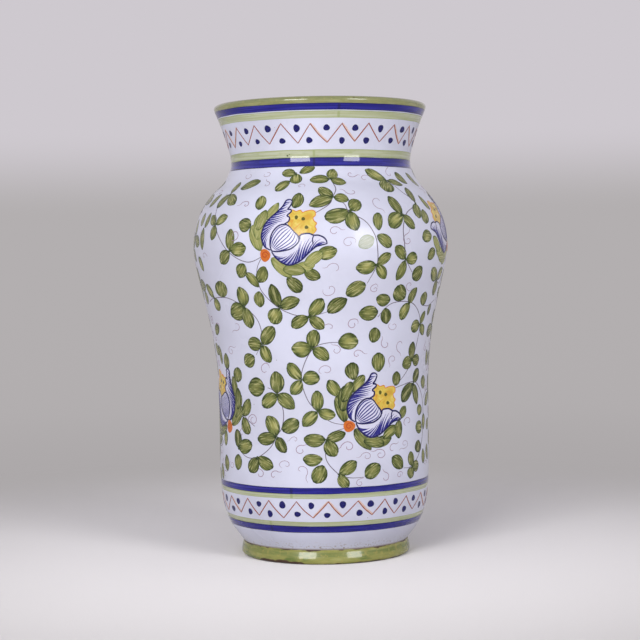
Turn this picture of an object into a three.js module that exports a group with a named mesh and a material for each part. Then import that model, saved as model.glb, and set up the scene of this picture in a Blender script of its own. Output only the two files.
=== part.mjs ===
// Stoneware vase with a wide belly and a flared neck, thrown on the wheel in sections
// that are luted together with slip. Millimetres, +Z up, origin on the table under the
// middle of the foot.
import * as THREE from 'three';

const { degToRad, lerp, clamp } = THREE.MathUtils;

// Heights of the stretches of the pot, one on top of the other from the table up
const footHeight = 15.8;
const turnInHeight = 97.1; // from the crease above the foot out to the straight waist
const waistHeight = 69.9; // straight stretch, up to the joint of the two body sections
const bellyHeight = 158.2; // from that joint up to the widest place
const shoulderHeight = 66.7; // from the widest place in to where the curve turns hollow
const collarHeight = 19.1; // hollow stretch under the neck
const neckHeight = 59.2;
const lipHeight = 14.0;

// Outside radii, and how far the foot, collar and lip stand out from them
const heelRadius = 92.0; // where the wall leaves the foot
const waistRadius = 117.2;
const bellyRadius = 141.6;
const throatRadius = 101.0;
const flareRadius = 114.4; // top of the neck, under the lip
const creaseLedge = 1.1; // of the foot ring past the wall above it
const footBulge = 1.2; // of the rounded foot ring past that ledge
const collarSpread = 11.5; // of the hollow collar, from the throat to the shoulder
const lipSpread = 3.9; // of the mouth past the top of the neck

// Leans of the profile at its stations, outwards from upright
const upright = 0;
const heelLean = degToRad(34);
const shoulderLean = degToRad(-46.8);
const flareLean = degToRad(22.2);

// How long each curve keeps the lean of its lower and upper end, as shares of its height
const turnInPulls = [0.2, 0.78];
const bellyPulls = [0.47, 0.18];
const shoulderPulls = [0.62, 0.084];
const collarPulls = [0.417, 0.1];
const neckPulls = [0.12, 0.727];
const lipPulls = [0.6, 0.15];
const footPulls = [0.5, 0];

// Clay thicknesses
const wallThickness = 9;
const heelThickness = 13; // the wall is left heavy where it carries the pot
const floorThickness = 12;
const footWidth = 15; // across the top of the foot ring
const footBevel = 3; // inner lower edge of the foot ring, trimmed off
const footRounding = 3.8; // how far the foot's lower edge is rolled under
const lipThickness = 10.5;
const lipRounding = 4.3; // height of the rounded top of the lip

// Luted joints: a ridge on the lower section stands in a groove in the upper one
const slipGap = 0.3; // room for the slip between two sections
const ridgeHeight = 4;
const ridgeRoot = 4.4; // width of the ridge where it leaves the seat
const ridgeTip = 2.4;
const floorSeatWidth = 3.5; // width of the wall's foot outside the let-in floor

// Fineness of the turned surfaces
const turns = 48;
const curveSteps = 6;

// Radii and levels of the stations
const footTopRadius = heelRadius + creaseLedge;
const footRadius = footTopRadius + footBulge;
const hollowRadius = throatRadius + collarSpread;
const mouthRadius = flareRadius + lipSpread;
const waistStart = footHeight + turnInHeight;
const waistJoint = waistStart + waistHeight;
const bellyLevel = waistJoint + bellyHeight;
const hollowLevel = bellyLevel + shoulderHeight;
const neckJoint = hollowLevel + collarHeight;
const lipJoint = neckJoint + neckHeight;
const rimLevel = lipJoint + lipHeight;
const floorUnderside = footHeight + slipGap;
const floorLevel = floorUnderside + floorThickness;

const whiteGlaze = new THREE.MeshStandardMaterial({ color: '#dcdcea', roughness: 0.22, metalness: 0 });
const greenGlaze = new THREE.MeshStandardMaterial({ color: '#8f9c45', roughness: 0.25, metalness: 0 });
const bareClay = new THREE.MeshStandardMaterial({ color: '#a9805c', roughness: 0.85, metalness: 0 });

const at = (radius, height) => new THREE.Vector2(radius, height);

// Starts a profile at its lowest point
function profileFrom(start) {
  const path = new THREE.Path();
  path.moveTo(start.x, start.y);
  return path;
}

// Carries a profile up to its next station in one curve
function riseTo(path, radius, height, [startLean, endLean], [startPull, endPull]) {
  const from = path.currentPoint;
  const rise = height - from.y;
  path.bezierCurveTo(
    from.x + Math.tan(startLean) * startPull * rise, from.y + startPull * rise,
    radius - Math.tan(endLean) * endPull * rise, height - endPull * rise,
    radius, height,
  );
}

// Points of a wall's face, set in from the profile and square to it
function wallFace(path, depthAt) {
  const points = [];
  for (const curve of path.curves) {
    const steps = curve.isLineCurve ? 1 : curveSteps;
    for (let i = points.length ? 1 : 0; i <= steps; i += 1) {
      const point = curve.getPoint(i / steps);
      const along = curve.getTangent(i / steps);
      const depth = depthAt(point.y);
      points.push(at(point.x - along.y * depth, point.y + along.x * depth));
    }
  }
  return points;
}

const outerFace = (path) => wallFace(path, () => 0);
const innerFace = (path) => wallFace(path, () => wallThickness);

// The part of a rising face above a level, starting on that level
function faceAbove(points, level) {
  const first = points.findIndex((point) => point.y > level);
  const below = points[first - 1];
  const above = points[first];
  const start = below.clone().lerp(above, (level - below.y) / (above.y - below.y));
  return [start, ...points.slice(first)];
}

// Top of a section, from its outer edge to its inner one, with the ridge in the middle
function ridgedSeat(outerEdge, innerEdge) {
  const inward = innerEdge.clone().sub(outerEdge).normalize();
  const up = at(inward.y, -inward.x);
  const middle = outerEdge.clone().lerp(innerEdge, 0.5);
  const place = (across, height) => middle.clone()
    .addScaledVector(inward, across)
    .addScaledVector(up, height);
  return [
    outerEdge,
    place(-ridgeRoot / 2, 0),
    place(-ridgeTip / 2, ridgeHeight),
    place(ridgeTip / 2, ridgeHeight),
    place(ridgeRoot / 2, 0),
    innerEdge,
  ];
}

// The matching underside of the next section: the seat's line, moved up square to itself
function groovedSeat(seat) {
  return seat.map((point, i) => {
    const arriving = point.clone().sub(seat[i - 1] ?? point).normalize();
    const leaving = (seat[i + 1] ?? point).clone().sub(point).normalize();
    const first = i === 0 ? leaving : arriving;
    const second = i === seat.length - 1 ? arriving : leaving;
    const upward = at(first.y + second.y, -first.x - second.x);
    return point.clone().addScaledVector(upward, slipGap / (1 + first.dot(second)));
  });
}

// Closed profile of a ring of clay: outer face up, top inwards, inner face down, base outwards
function ringProfile(outer, top, inner, base) {
  const loop = [...outer, ...top, ...inner.toReversed(), ...base.toReversed()];
  const profile = loop.filter((point, i) => i === 0 || point.distanceTo(loop[i - 1]) > 1e-6);
  profile[profile.length - 1] = profile[0].clone();
  return profile;
}

// A piece of clay turned about the pot's upright axis
function turned(name, profile, material) {
  const geometry = new THREE.LatheGeometry(profile, turns);
  geometry.rotateX(Math.PI / 2);
  const mesh = new THREE.Mesh(geometry, material);
  mesh.name = name;
  return mesh;
}

// Foot ring: a rounded bead outside, flat on top for the wall and floor, and rolled
// under to a flat standing face
function footRingProfile() {
  const innerRadius = footTopRadius - footWidth;
  const standingEdge = at(footRadius - footRounding, 0);
  const bulgeLevel = footHeight / 2;
  const path = profileFrom(standingEdge);
  path.absellipse(standingEdge.x, bulgeLevel, footRounding, bulgeLevel, -Math.PI / 2, 0);
  riseTo(path, footTopRadius, footHeight, [upright, upright], footPulls);
  return ringProfile(
    outerFace(path),
    [at(innerRadius, footHeight)],
    [at(innerRadius + footBevel, 0), at(innerRadius, footBevel)],
    [standingEdge],
  );
}

// Lower body: out from the foot and straight up the waist, heavier at the heel
const lowerPath = profileFrom(at(heelRadius, floorUnderside));
riseTo(lowerPath, waistRadius, waistStart, [heelLean, upright], turnInPulls);
lowerPath.lineTo(waistRadius, waistJoint);

const lowerDepth = (height) => {
  const share = clamp((height - footHeight) / turnInHeight, 0, 1);
  return lerp(heelThickness, wallThickness, share);
};
const lowerInner = faceAbove(wallFace(lowerPath, lowerDepth), floorLevel);
const waistSeat = ridgedSeat(at(waistRadius, waistJoint), lowerInner.at(-1));

// The floor is let into the bottom of the wall, with a bevelled edge
const floorSeatRadius = heelRadius - floorSeatWidth;
const floorTopRadius = lowerInner[0].x;

function lowerBodyProfile() {
  return ringProfile(
    outerFace(lowerPath),
    waistSeat,
    lowerInner,
    [at(heelRadius, floorUnderside), at(floorSeatRadius, floorUnderside)],
  );
}

function floorProfile() {
  const bevel = at(floorSeatRadius - floorTopRadius, floorThickness);
  const clearance = slipGap * bevel.length() / floorThickness;
  return [
    at(0, floorUnderside),
    at(floorSeatRadius - clearance, floorUnderside),
    at(floorTopRadius - clearance, floorLevel),
    at(0, floorLevel),
  ];
}

// Upper body: the belly swells out, the shoulder closes in and turns hollow to the neck
function upperBodyPath() {
  const path = profileFrom(at(waistRadius, waistJoint + slipGap));
  riseTo(path, bellyRadius, bellyLevel, [upright, upright], bellyPulls);
  riseTo(path, hollowRadius, hollowLevel, [upright, shoulderLean], shoulderPulls);
  riseTo(path, throatRadius, neckJoint, [shoulderLean, upright], collarPulls);
  return path;
}

// Neck: flares out to the lip, almost straight
function neckPath() {
  const path = profileFrom(at(throatRadius, neckJoint + slipGap));
  riseTo(path, flareRadius, lipJoint, [upright, flareLean], neckPulls);
  return path;
}

// A wall section, grooved for the seat below it, and the ridged seat that it offers above
function wallSection(path, seatBelow) {
  const outer = outerFace(path);
  const inner = innerFace(path);
  const seat = ridgedSeat(outer.at(-1), inner.at(-1));
  return { profile: ringProfile(outer, seat, inner, groovedSeat(seatBelow)), seat };
}

// Lip: a thick coil on the edge of the neck, carried on along the flare and rounded over
function lipProfile(seatBelow) {
  const base = groovedSeat(seatBelow);
  const roundLevel = rimLevel - lipRounding;
  const roundMiddle = mouthRadius - lipThickness / 2;
  const path = profileFrom(base[0]);
  riseTo(path, mouthRadius, roundLevel, [flareLean, upright], lipPulls);
  for (const quarter of [0, 1]) {
    path.absellipse(
      roundMiddle, roundLevel,
      lipThickness / 2, lipRounding,
      quarter * Math.PI / 2, (quarter + 1) * Math.PI / 2,
    );
  }
  return ringProfile(outerFace(path), [], [base.at(-1)], base);
}

const upperBody = wallSection(upperBodyPath(), waistSeat);
const neck = wallSection(neckPath(), upperBody.seat);

const vase = new THREE.Group();
vase.name = 'stoneware_vase';
vase.add(
  turned('foot_ring', footRingProfile(), greenGlaze),
  turned('base_floor', floorProfile(), bareClay),
  turned('lower_body', lowerBodyProfile(), whiteGlaze),
  turned('upper_body', upperBody.profile, whiteGlaze),
  turned('neck', neck.profile, whiteGlaze),
  turned('rim_lip', lipProfile(neck.seat), greenGlaze),
);

export default vase;
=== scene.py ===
# Tall stoneware vase with a painted vine: the looks
import math
import random
from bisect import bisect_left
from functools import partial

import bmesh
import bpy
from mathutils import Matrix, Vector, noise


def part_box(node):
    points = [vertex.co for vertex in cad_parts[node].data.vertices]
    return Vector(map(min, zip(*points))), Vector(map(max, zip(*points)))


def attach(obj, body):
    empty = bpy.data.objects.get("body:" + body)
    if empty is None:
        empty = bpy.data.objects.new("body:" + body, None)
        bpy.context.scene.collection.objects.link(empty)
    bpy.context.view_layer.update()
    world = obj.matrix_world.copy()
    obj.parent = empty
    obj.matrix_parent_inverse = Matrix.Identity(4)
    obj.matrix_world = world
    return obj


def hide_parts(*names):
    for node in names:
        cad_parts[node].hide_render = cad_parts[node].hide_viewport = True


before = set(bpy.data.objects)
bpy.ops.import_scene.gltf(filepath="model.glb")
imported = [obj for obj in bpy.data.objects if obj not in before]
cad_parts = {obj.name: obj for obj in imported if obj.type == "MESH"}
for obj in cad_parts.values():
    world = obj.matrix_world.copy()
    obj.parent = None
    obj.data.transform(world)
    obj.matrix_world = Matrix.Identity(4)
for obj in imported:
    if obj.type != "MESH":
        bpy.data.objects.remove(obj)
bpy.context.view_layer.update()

mm = 0.001
scene = bpy.context.scene
scene.view_settings.view_transform = "Standard"


# Small tools
def mix(a, b, share):
    return a + (b - a) * share


def ease(value, low, high):
    # 0 below low, 1 above high, smooth between
    share = min(1, max(0, (value - low) / (high - low)))
    return share * share * (3 - 2 * share)


def linear(hexColour):
    # sRGB hex to the linear colour that the shader wants
    parts = [int(hexColour[i:i + 2], 16) / 255 for i in (1, 3, 5)]
    return tuple(c / 12.92 if c <= 0.04045 else ((c + 0.055) / 1.055) ** 2.4 for c in parts) + (1,)


# What most nodes of a kind are set to. A Mix node of colours has its share at 0 and the colours at 6 and 7
usual = {
    "ShaderNodeMapRange": {"interpolation_type": "SMOOTHSTEP"},
    "ShaderNodeMix": {"data_type": "RGBA"},
}
even = {"interpolation_type": "LINEAR"}


def addNode(tree, kind, links=(), stops=(), **settings):
    # links gives the inputs, as a list in their own order or by name or number. Each is a value, a hex
    # colour, or what to plug in, a node or one of its outputs. Stops are the places and colours of a ramp
    made = tree.nodes.new(kind)
    for name, value in {**usual.get(kind, {}), **settings}.items():
        setattr(made, name, value)
    if stops:
        ramp = made.color_ramp.elements
        while len(ramp) < len(stops):
            ramp.new(0.5)
        for spot, (place, colour) in zip(ramp, stops):
            spot.position = place
            spot.color = linear(colour)
    for name, value in links.items() if isinstance(links, dict) else enumerate(links):
        if isinstance(value, bpy.types.Node):
            value = next(socket for socket in value.outputs if socket.enabled)
        if isinstance(value, bpy.types.NodeSocket):
            tree.links.new(value, made.inputs[name])
        else:
            made.inputs[name].default_value = linear(value) if isinstance(value, str) else value
    return made


# Outline of the pot, in millimetres: out from the middle and up from the table. A lean is in degrees from
# upright, and the two pulls say how long a curve follows its lean at the low and at the high end
shape = {
    "heelRadius": 92.0,
    "throatRadius": 101.9,
    "hollowRadius": 113.8,
    "hollowLevel": 407.7,
    "waistStart": 112.9,
    "bellyLevel": 341.0,
    "lipLevel": 486.0,
    "lipRounding": 3.8,
    "lipThickness": 10.5,
    "heelLean": 34,
    "shoulderLean": -46.8,
    "collarLean": -30,
    "flareLean": 22.2,
    "turnInPulls": (0.2, 0.78),
    "waistPulls": (0.33, 0.33),
    "bellyPulls": (0.47, 0.18),
    "shoulderPulls": (0.62, 0.084),
    "collarPulls": (0.417, 0.1),
    "neckPulls": (0.072, 0.74),
    "lipPulls": (0.6, 0.15),
    "wallThickness": 9,
    "heelThickness": 13,
    "floorSeatWidth": 3.5,
    "floorSlip": 0.4,
    "slipGap": 0.3,
    "unevenness": 0.35,  # how far a hand-thrown wall strays from a true circle
    "lumpHeight": 90,  # mm of height over which it strays one way
    "sag": 1.5,  # how far the belly stands to the left of the foot and neck
}


def riseTo(points, radius, height, leans, pulls, steps):
    # carries an outline up to its next station in one curve
    start, end = points[-1], (radius, height)
    low, high = (pull * (height - start[1]) for pull in pulls)
    first = start[0] + math.tan(math.radians(leans[0])) * low, start[1] + low
    second = radius - math.tan(math.radians(leans[1])) * high, height - high
    for step in range(1, steps + 1):
        t = step / steps
        shares = (1 - t) ** 3, 3 * t * (1 - t) ** 2, 3 * t * t * (1 - t), t ** 3
        points.append(tuple(
            sum(share * value for share, value in zip(shares, values))
            for values in zip(start, first, second, end)
        ))


def outwardAt(points, i):
    # the direction square to a line at one of its points, on the outer side
    before, after = points[max(0, i - 1)], points[min(len(points) - 1, i + 1)]
    length = math.dist(before, after)
    return (after[1] - before[1]) / length, (before[0] - after[0]) / length


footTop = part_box("foot_ring")[1].z / mm
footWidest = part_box("foot_ring")[1].x / mm
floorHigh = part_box("base_floor")[1].z / mm
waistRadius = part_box("lower_body")[1].x / mm
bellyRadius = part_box("upper_body")[1].x / mm
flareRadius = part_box("neck")[1].x / mm
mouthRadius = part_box("rim_lip")[1].x / mm
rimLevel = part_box("rim_lip")[1].z / mm
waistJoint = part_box("upper_body")[0].z / mm - shape["slipGap"]
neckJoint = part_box("neck")[0].z / mm - shape["slipGap"]

heel, shoulder, collar, flare = (shape[name + "Lean"] for name in ("heel", "shoulder", "collar", "flare"))
lowerSkin = [(shape["heelRadius"], footTop)]
riseTo(lowerSkin, waistRadius, shape["waistStart"], (heel, 0), shape["turnInPulls"], 36)
riseTo(lowerSkin, waistRadius, waistJoint, (0, 0), shape["waistPulls"], 12)
upperSkin = [lowerSkin[-1]]
riseTo(upperSkin, bellyRadius, shape["bellyLevel"], (0, 0), shape["bellyPulls"], 44)
riseTo(upperSkin, shape["hollowRadius"], shape["hollowLevel"], (0, shoulder), shape["shoulderPulls"], 30)
riseTo(upperSkin, shape["throatRadius"], neckJoint, (shoulder, collar), shape["collarPulls"], 16)
neckSkin = [upperSkin[-1]]
riseTo(neckSkin, flareRadius, shape["lipLevel"], (collar, flare), shape["neckPulls"], 24)
lipSkin = [neckSkin[-1]]
roundLevel = rimLevel - shape["lipRounding"]
riseTo(lipSkin, mouthRadius, roundLevel, (flare, 0), shape["lipPulls"], 8)
for step in range(1, 17):
    turn = math.pi * step / 16
    lipSkin.append((
        mouthRadius - shape["lipThickness"] / 2 * (1 - math.cos(turn)),
        roundLevel + shape["lipRounding"] * math.sin(turn),
    ))

# The whole skin as one line, with the way along it and its outward direction at each point
skin = lowerSkin + upperSkin[1:] + neckSkin[1:] + lipSkin[1:]
skinWay = [0]
for before, after in zip(skin, skin[1:]):
    skinWay.append(skinWay[-1] + math.dist(before, after))
skinOut = [outwardAt(skin, i) for i in range(len(skin))]


def wayAt(height):
    # way along the skin at a height, up to the rounding of the lip
    for i in range(1, len(skin)):
        if skin[i][1] >= height:
            share = (height - skin[i - 1][1]) / max(1e-6, skin[i][1] - skin[i - 1][1])
            return mix(skinWay[i - 1], skinWay[i], share)
    return skinWay[-1]


def outlineAt(way):
    # radius, height and outward direction at a way along the skin
    i = min(len(skin) - 1, max(1, bisect_left(skinWay, way)))
    share = (way - skinWay[i - 1]) / (skinWay[i] - skinWay[i - 1])
    radius, height = (mix(skin[i - 1][k], skin[i][k], share) for k in (0, 1))
    out = [mix(skinOut[i - 1][k], skinOut[i][k], share) for k in (0, 1)]
    return radius, height, out


def unevenAt(angle, height):
    # a thrown wall strays a little from its circle, but not at the foot or the lip
    held = ease(height, 20, 70) * (1 - ease(height, 460, 490))
    lump = Vector((1.5 * math.sin(angle), 1.5 * math.cos(angle), height / shape["lumpHeight"]))
    # the belly leans to one side between the waist and the shoulder
    sag = ease(height, 190, 290) * (1 - ease(height, 395, 425)) * math.sin(angle)
    return shape["unevenness"] * held * noise.noise(lump) - shape["sag"] * sag


def skinPoint(angle, way, lift=0):
    # a point on the pot: angle from the front, way up the skin, lift off it
    radius, height, out = outlineAt(way)
    radius += unevenAt(angle, height) + out[0] * lift
    height += out[1] * lift
    return Vector((radius * math.sin(angle), -radius * math.cos(angle), height)) * mm


# Pieces of clay, each turned from its own closed outline
potTurns = 240
sharpAngle = 40  # degrees, from where an edge is shown sharp
axisRadius = 0.01 * mm  # what is nearer to the axis counts as on it
mergeDistance = 0.002 * mm


def angleOf(co):
    return math.atan2(co.x, -co.y)


def aroundOf(co):
    # share of the round, from the back, where the seam of each UV lies
    return angleOf(co) / (2 * math.pi) + 0.5


def spinLine(bm, line, steps, layer=None, marks=(), closed=False):
    # turns a line of points, out and up in metres, once round the axis; marks go along on a layer
    verts = [bm.verts.new((0, radius, height)) for radius, height in line]
    for vert, mark in zip(verts, marks):
        vert[layer] = mark
    edges = [bm.edges.new(pair) for pair in zip(verts, verts[1:])]
    if closed:
        edges.append(bm.edges.new((verts[-1], verts[0])))
    bmesh.ops.spin(
        bm, geom=verts + edges, cent=(0, 0, 0), axis=(0, 0, 1), angle=2 * math.pi,
        steps=steps, use_merge=True, use_duplicate=False,
    )


def addObject(name, bm, material):
    mesh = bpy.data.meshes.new(name)
    bm.to_mesh(mesh)
    bm.free()
    mesh.materials.append(material)
    made = bpy.data.objects.new(name, mesh)
    scene.collection.objects.link(made)
    return made


def addPiece(name, bm, material, slotName, *replaced):
    bmesh.ops.recalc_face_normals(bm, faces=bm.faces)
    for edge in bm.edges:
        if edge.is_manifold and edge.calc_face_angle() > math.radians(sharpAngle):
            edge.smooth = False
    for face in bm.faces:
        face.smooth = True
    piece = addObject(name, bm, material)
    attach(piece, "root")
    if replaced:
        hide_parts(*replaced)


def turnPiece(name, outline, material, slotName, node, closed=True):
    bm = bmesh.new()
    uvLayer = bm.loops.layers.uv.new("OFBake")
    along = bm.verts.layers.float.new("along")
    ways = [0]
    for before, after in zip(outline, outline[1:] + outline[:1]):
        ways.append(ways[-1] + math.dist(before, after))
    whole = ways[-1] if closed else ways[-2]
    line = [(radius * mm, height * mm) for radius, height in outline]
    spinLine(bm, line, potTurns, along, ways, closed)
    bmesh.ops.remove_doubles(bm, verts=bm.verts, dist=mergeDistance)
    for face in bm.faces:
        ups = [loop.vert[along] / whole for loop in face.loops]
        middle = aroundOf(face.calc_center_median())
        for loop, up in zip(face.loops, ups):
            onAxis = loop.vert.co.xy.length < axisRadius
            around = middle if onAxis else aroundOf(loop.vert.co)
            around += round(middle - around)
            if max(ups) - up > 0.5:
                up += 1
            loop[uvLayer].uv = around, up
    for vert in bm.verts:
        radius = vert.co.xy.length
        if radius > axisRadius:
            vert.co.xy *= 1 + unevenAt(angleOf(vert.co), vert.co.z / mm) * mm / radius
    addPiece(name, bm, material, slotName, node)


def insideOf(points, depthAt):
    # the inner face of a wall, square to its skin
    made = []
    for i, (radius, height) in enumerate(points):
        out, depth = outwardAt(points, i), depthAt(height)
        made.append((radius - out[0] * depth, height - out[1] * depth))
    return made


def thinned(points, keep=2):
    return [point for i, point in enumerate(points) if i % keep == 0 or i == len(points) - 1]


print("outline ready:", len(skin), "points,", round(skinWay[-1]), "mm of skin")


# Materials. The three glosses: soft on the white glaze, hard on the bands, wet where green glaze pooled
glazeGloss = {"IOR": 1.5, "Specular IOR Level": 0.25, "Coat Weight": 0.3, "Coat Roughness": 0.14}
bandGloss = {
    "IOR": 1.5, "Specular IOR Level": 0.05, "Coat Weight": 1.0, "Coat Roughness": 0.04, "Coat IOR": 1.55,
}
poolGloss = {"IOR": 1.5, "Specular IOR Level": 0.3, "Coat Roughness": 0.04, "Coat IOR": 1.7}


def startMaterial(name, painted=False):
    # a new material, what adds its nodes, and where its textures look: the object's own coordinates, or,
    # for paint, the UV
    material = bpy.data.materials.new(name)
    material.use_nodes = True
    material.node_tree.nodes.clear()
    add = partial(addNode, material.node_tree)
    if painted:
        return material, add, add("ShaderNodeUVMap", uv_map="OFBake").outputs["UV"]
    return material, add, add("ShaderNodeTexCoord").outputs["Object"]


def finishMaterial(add, colour, roughness, relief, depth, gloss):
    # the closing nodes that every finish here shares: shader, relief and output. Roughness is an output,
    # or a pair that it spans with the relief. Depth is in mm
    if isinstance(roughness, tuple):
        roughness = add("ShaderNodeMapRange", [relief, 0.3, 0.7, *roughness])
    bump = add("ShaderNodeBump", {"Height": relief, "Strength": 1.0, "Distance": depth * mm})
    shader = add("ShaderNodeBsdfPrincipled", {
        "Base Color": colour, "Roughness": roughness, "Normal": bump, **gloss,
    })
    add("ShaderNodeOutputMaterial", {"Surface": shader})


def addSpecks(add, place, perMetre, size, chance, strength):
    # how much iron speck there is at a place: some of the cells hold one
    cells = add("ShaderNodeTexVoronoi", {"Vector": place, "Scale": perMetre})
    chosen = add("ShaderNodeSeparateColor", [cells.outputs["Color"]])
    return add("ShaderNodeMath", [
        add("ShaderNodeMapRange", [cells.outputs["Distance"], *size]),
        add("ShaderNodeMapRange", [chosen, *chance, 0.0, strength]),
    ], operation="MULTIPLY")


# Tin glaze: an opaque white glass over the clay, so it is bluish white, glossy and slightly uneven
tinGlazeLook = {
    "white": "#dadcee",
    "thin": "#cfd0e1",  # where the glaze ran thin, the clay greys it
    # brown grey of the dirt flecks, and of the painted shade in the crease over the foot
    "darkening": "#96867c",
    "speck": "#57423a",
    "patch": 90,  # mm between thinner patches
    "ringSpacing": 9,  # mm between the faint rings left by the fingers
    "ringStretch": (0.03, 0.03, 1),
    "ripple": 4,  # mm, the orange-peel ripple of the glaze
    "specks": 24,  # mm between iron specks
    "fleck": 1000 / 420,  # mm, the flecks of dirt
    "darkeningLevels": (29, 16.5),  # mm of height where flecks of dirt start and where they are thickest
    "creaseShadeLevels": (18.2, 16.2),  # the same for the painted shade in the crease over the foot
    "creaseShadeStrength": 0.75,
    "darkeningRoughness": 0.35,
    "relief": 0.09,
}


def makeTinGlaze():
    look = tinGlazeLook
    material, add, place = startMaterial("whiteTinGlaze")
    level = add("ShaderNodeSeparateXYZ", [place]).outputs["Z"]
    patches, ripple, flecks = (
        add("ShaderNodeTexNoise", {"Vector": place, "Scale": 1000 / look[key], "Detail": detail})
        for key, detail in (("patch", 4.0), ("ripple", 2.0), ("fleck", 4.0))
    )
    rings = add("ShaderNodeTexNoise", {
        "Vector": add("ShaderNodeMapping", {"Vector": place, "Scale": look["ringStretch"]}),
        "Scale": 1000 / look["ringSpacing"], "Detail": 2.0,
    })
    tone = add("ShaderNodeMix", {
        0: add("ShaderNodeMapRange", [patches, 0.35, 0.7]),
        6: look["white"], 7: look["thin"],
    })
    speck = addSpecks(add, place, 1000 / look["specks"], (0.022, 0.012), (0.62, 0.66), 1.0)
    specked = add("ShaderNodeMix", {0: speck, 6: tone, 7: look["speck"]})
    # dirt gathers above the foot in small flecks; the crease over the foot gets a painted shade, a dark line
    darkeningLevels = [height * mm for height in look["darkeningLevels"]]
    creaseShadeLevels = [height * mm for height in look["creaseShadeLevels"]]
    darkening = add("ShaderNodeMath", [
        add("ShaderNodeMapRange", [flecks, 0.52, 0.74]),
        add("ShaderNodeMapRange", [level, *darkeningLevels]),
    ], operation="MULTIPLY")
    # painted shade: an even dark line all round in the crease
    creaseShade = add("ShaderNodeMapRange", [level, *creaseShadeLevels, 0.0, look["creaseShadeStrength"]])
    dirtAndCreaseShade = add("ShaderNodeMath", [darkening, creaseShade], operation="MAXIMUM")
    colour = add("ShaderNodeMix", {0: dirtAndCreaseShade, 6: specked, 7: look["darkening"]})
    roughness = add("ShaderNodeMath", [
        add("ShaderNodeMapRange", [patches, 0.3, 0.75, 0.22, 0.32]),
        add("ShaderNodeMath", [dirtAndCreaseShade, look["darkeningRoughness"]], operation="MULTIPLY"),
    ], operation="ADD")
    fine = add("ShaderNodeMath", [ripple, 0.16], operation="MULTIPLY")
    relief = add("ShaderNodeMath", [rings, 0.7, fine], operation="MULTIPLY_ADD")
    finishMaterial(add, colour, roughness, relief, look["relief"], glazeGloss)
    return material


tinGlaze = makeTinGlaze()


# Bands round the pot: (low edge, high edge) in mm of height
bands = {
    "cobalt": [(485.3, 492.3), (426.6, 436.2), (79.2, 86.0), (36.8, 44.2)],
    "green": [(477.1, 484.4), (436.2, 444.5), (74.3, 79.2), (44.2, 49.0)],
    "waver": 0.35,  # how far the hand let an edge wander
    "lifts": {"green": 0.12, "cobalt": 0.17},  # mm off the glaze
    "sunk": 0.4,  # mm that the closed back of a band lies deeper
    "rows": 6,
    "tiles": 16,  # a band's share of the UV, counted up from its foot
    "tileInset": 0.02,
    "streaks": 44.0,
    "firstStart": 0.528,  # where the brush was set down, as a share of the round
    "startShift": -0.039,  # how much further round from band to band
}


# Brushed bands: a colour laid on the raw glaze while the pot turns, streaky, darker where it pooled
def makeBandPaint(name, middle, pooled, thin):
    material, add, uv = startMaterial(name, painted=True)
    axes = add("ShaderNodeSeparateXYZ", [uv])
    # a band is wrapped on its own u, so the streaks close up: the angle goes through sine and cosine
    turn = add("ShaderNodeMath", [axes.outputs["X"], 2 * math.pi], operation="MULTIPLY")
    around = add("ShaderNodeCombineXYZ", [
        add("ShaderNodeMath", [turn], operation="SINE"),
        add("ShaderNodeMath", [turn], operation="COSINE"),
        add("ShaderNodeMath", [axes.outputs["Y"], bands["streaks"]], operation="MULTIPLY"),
    ])
    brushed = add("ShaderNodeTexNoise", {"Vector": around, "Scale": 1.6, "Detail": 5.0})
    blots = add("ShaderNodeTexNoise", {
        "Vector": add("ShaderNodeMapping", {"Vector": around, "Scale": (5, 5, 0.5)}),
        "Scale": 2.0, "Detail": 4.0,
    })
    tone = add("ShaderNodeMix", {0: add("ShaderNodeMapRange", [brushed, 0.4, 0.66]), 6: middle, 7: thin})
    # both edges of a band are darker
    across = add("ShaderNodeMath", [axes.outputs["Y"], float(bands["tiles"])], operation="MULTIPLY")
    share = add("ShaderNodeMath", [across], operation="FRACT")
    fromMiddle = add("ShaderNodeMath", [share, 0.5], operation="SUBTRACT")
    edge = add("ShaderNodeMath", [fromMiddle], operation="ABSOLUTE")
    pooledEdge = add("ShaderNodeMath", [
        add("ShaderNodeMapRange", [edge, 0.3, 0.5, 0.0, 0.8]),
        add("ShaderNodeMapRange", [blots, 0.5, 0.75, 0.0, 0.35]),
    ], operation="MAXIMUM")
    # each pull ends on its own start, and is darker there
    number = add("ShaderNodeMath", [across], operation="FLOOR")
    shift, first = bands["startShift"], bands["firstStart"]
    start = add("ShaderNodeMath", [number, shift, first], operation="MULTIPLY_ADD")
    pastStart = add("ShaderNodeMath", [axes.outputs["X"], start], operation="SUBTRACT")
    fromStart = add("ShaderNodeMath", [pastStart], operation="ABSOLUTE")
    dark = add("ShaderNodeMath", [
        pooledEdge, add("ShaderNodeMapRange", [fromStart, 0.003, 0.001, 0.0, 0.6]),
    ], operation="MAXIMUM")
    colour = add("ShaderNodeMix", {0: dark, 6: tone, 7: pooled})
    finishMaterial(add, colour, (0.2, 0.3), brushed, 0.03, bandGloss)
    return material


# Cobalt under the glaze: deep violet blue, nearly black where it lies thick
cobaltBand = makeBandPaint("cobaltBand", "#100e7a", "#07053e", "#2a2996")
# Thin copper green wash: watery, the white shows through the streaks
greenWash = makeBandPaint("copperGreenWash", "#aeb48d", "#93a062", "#c0c5aa")
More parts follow.
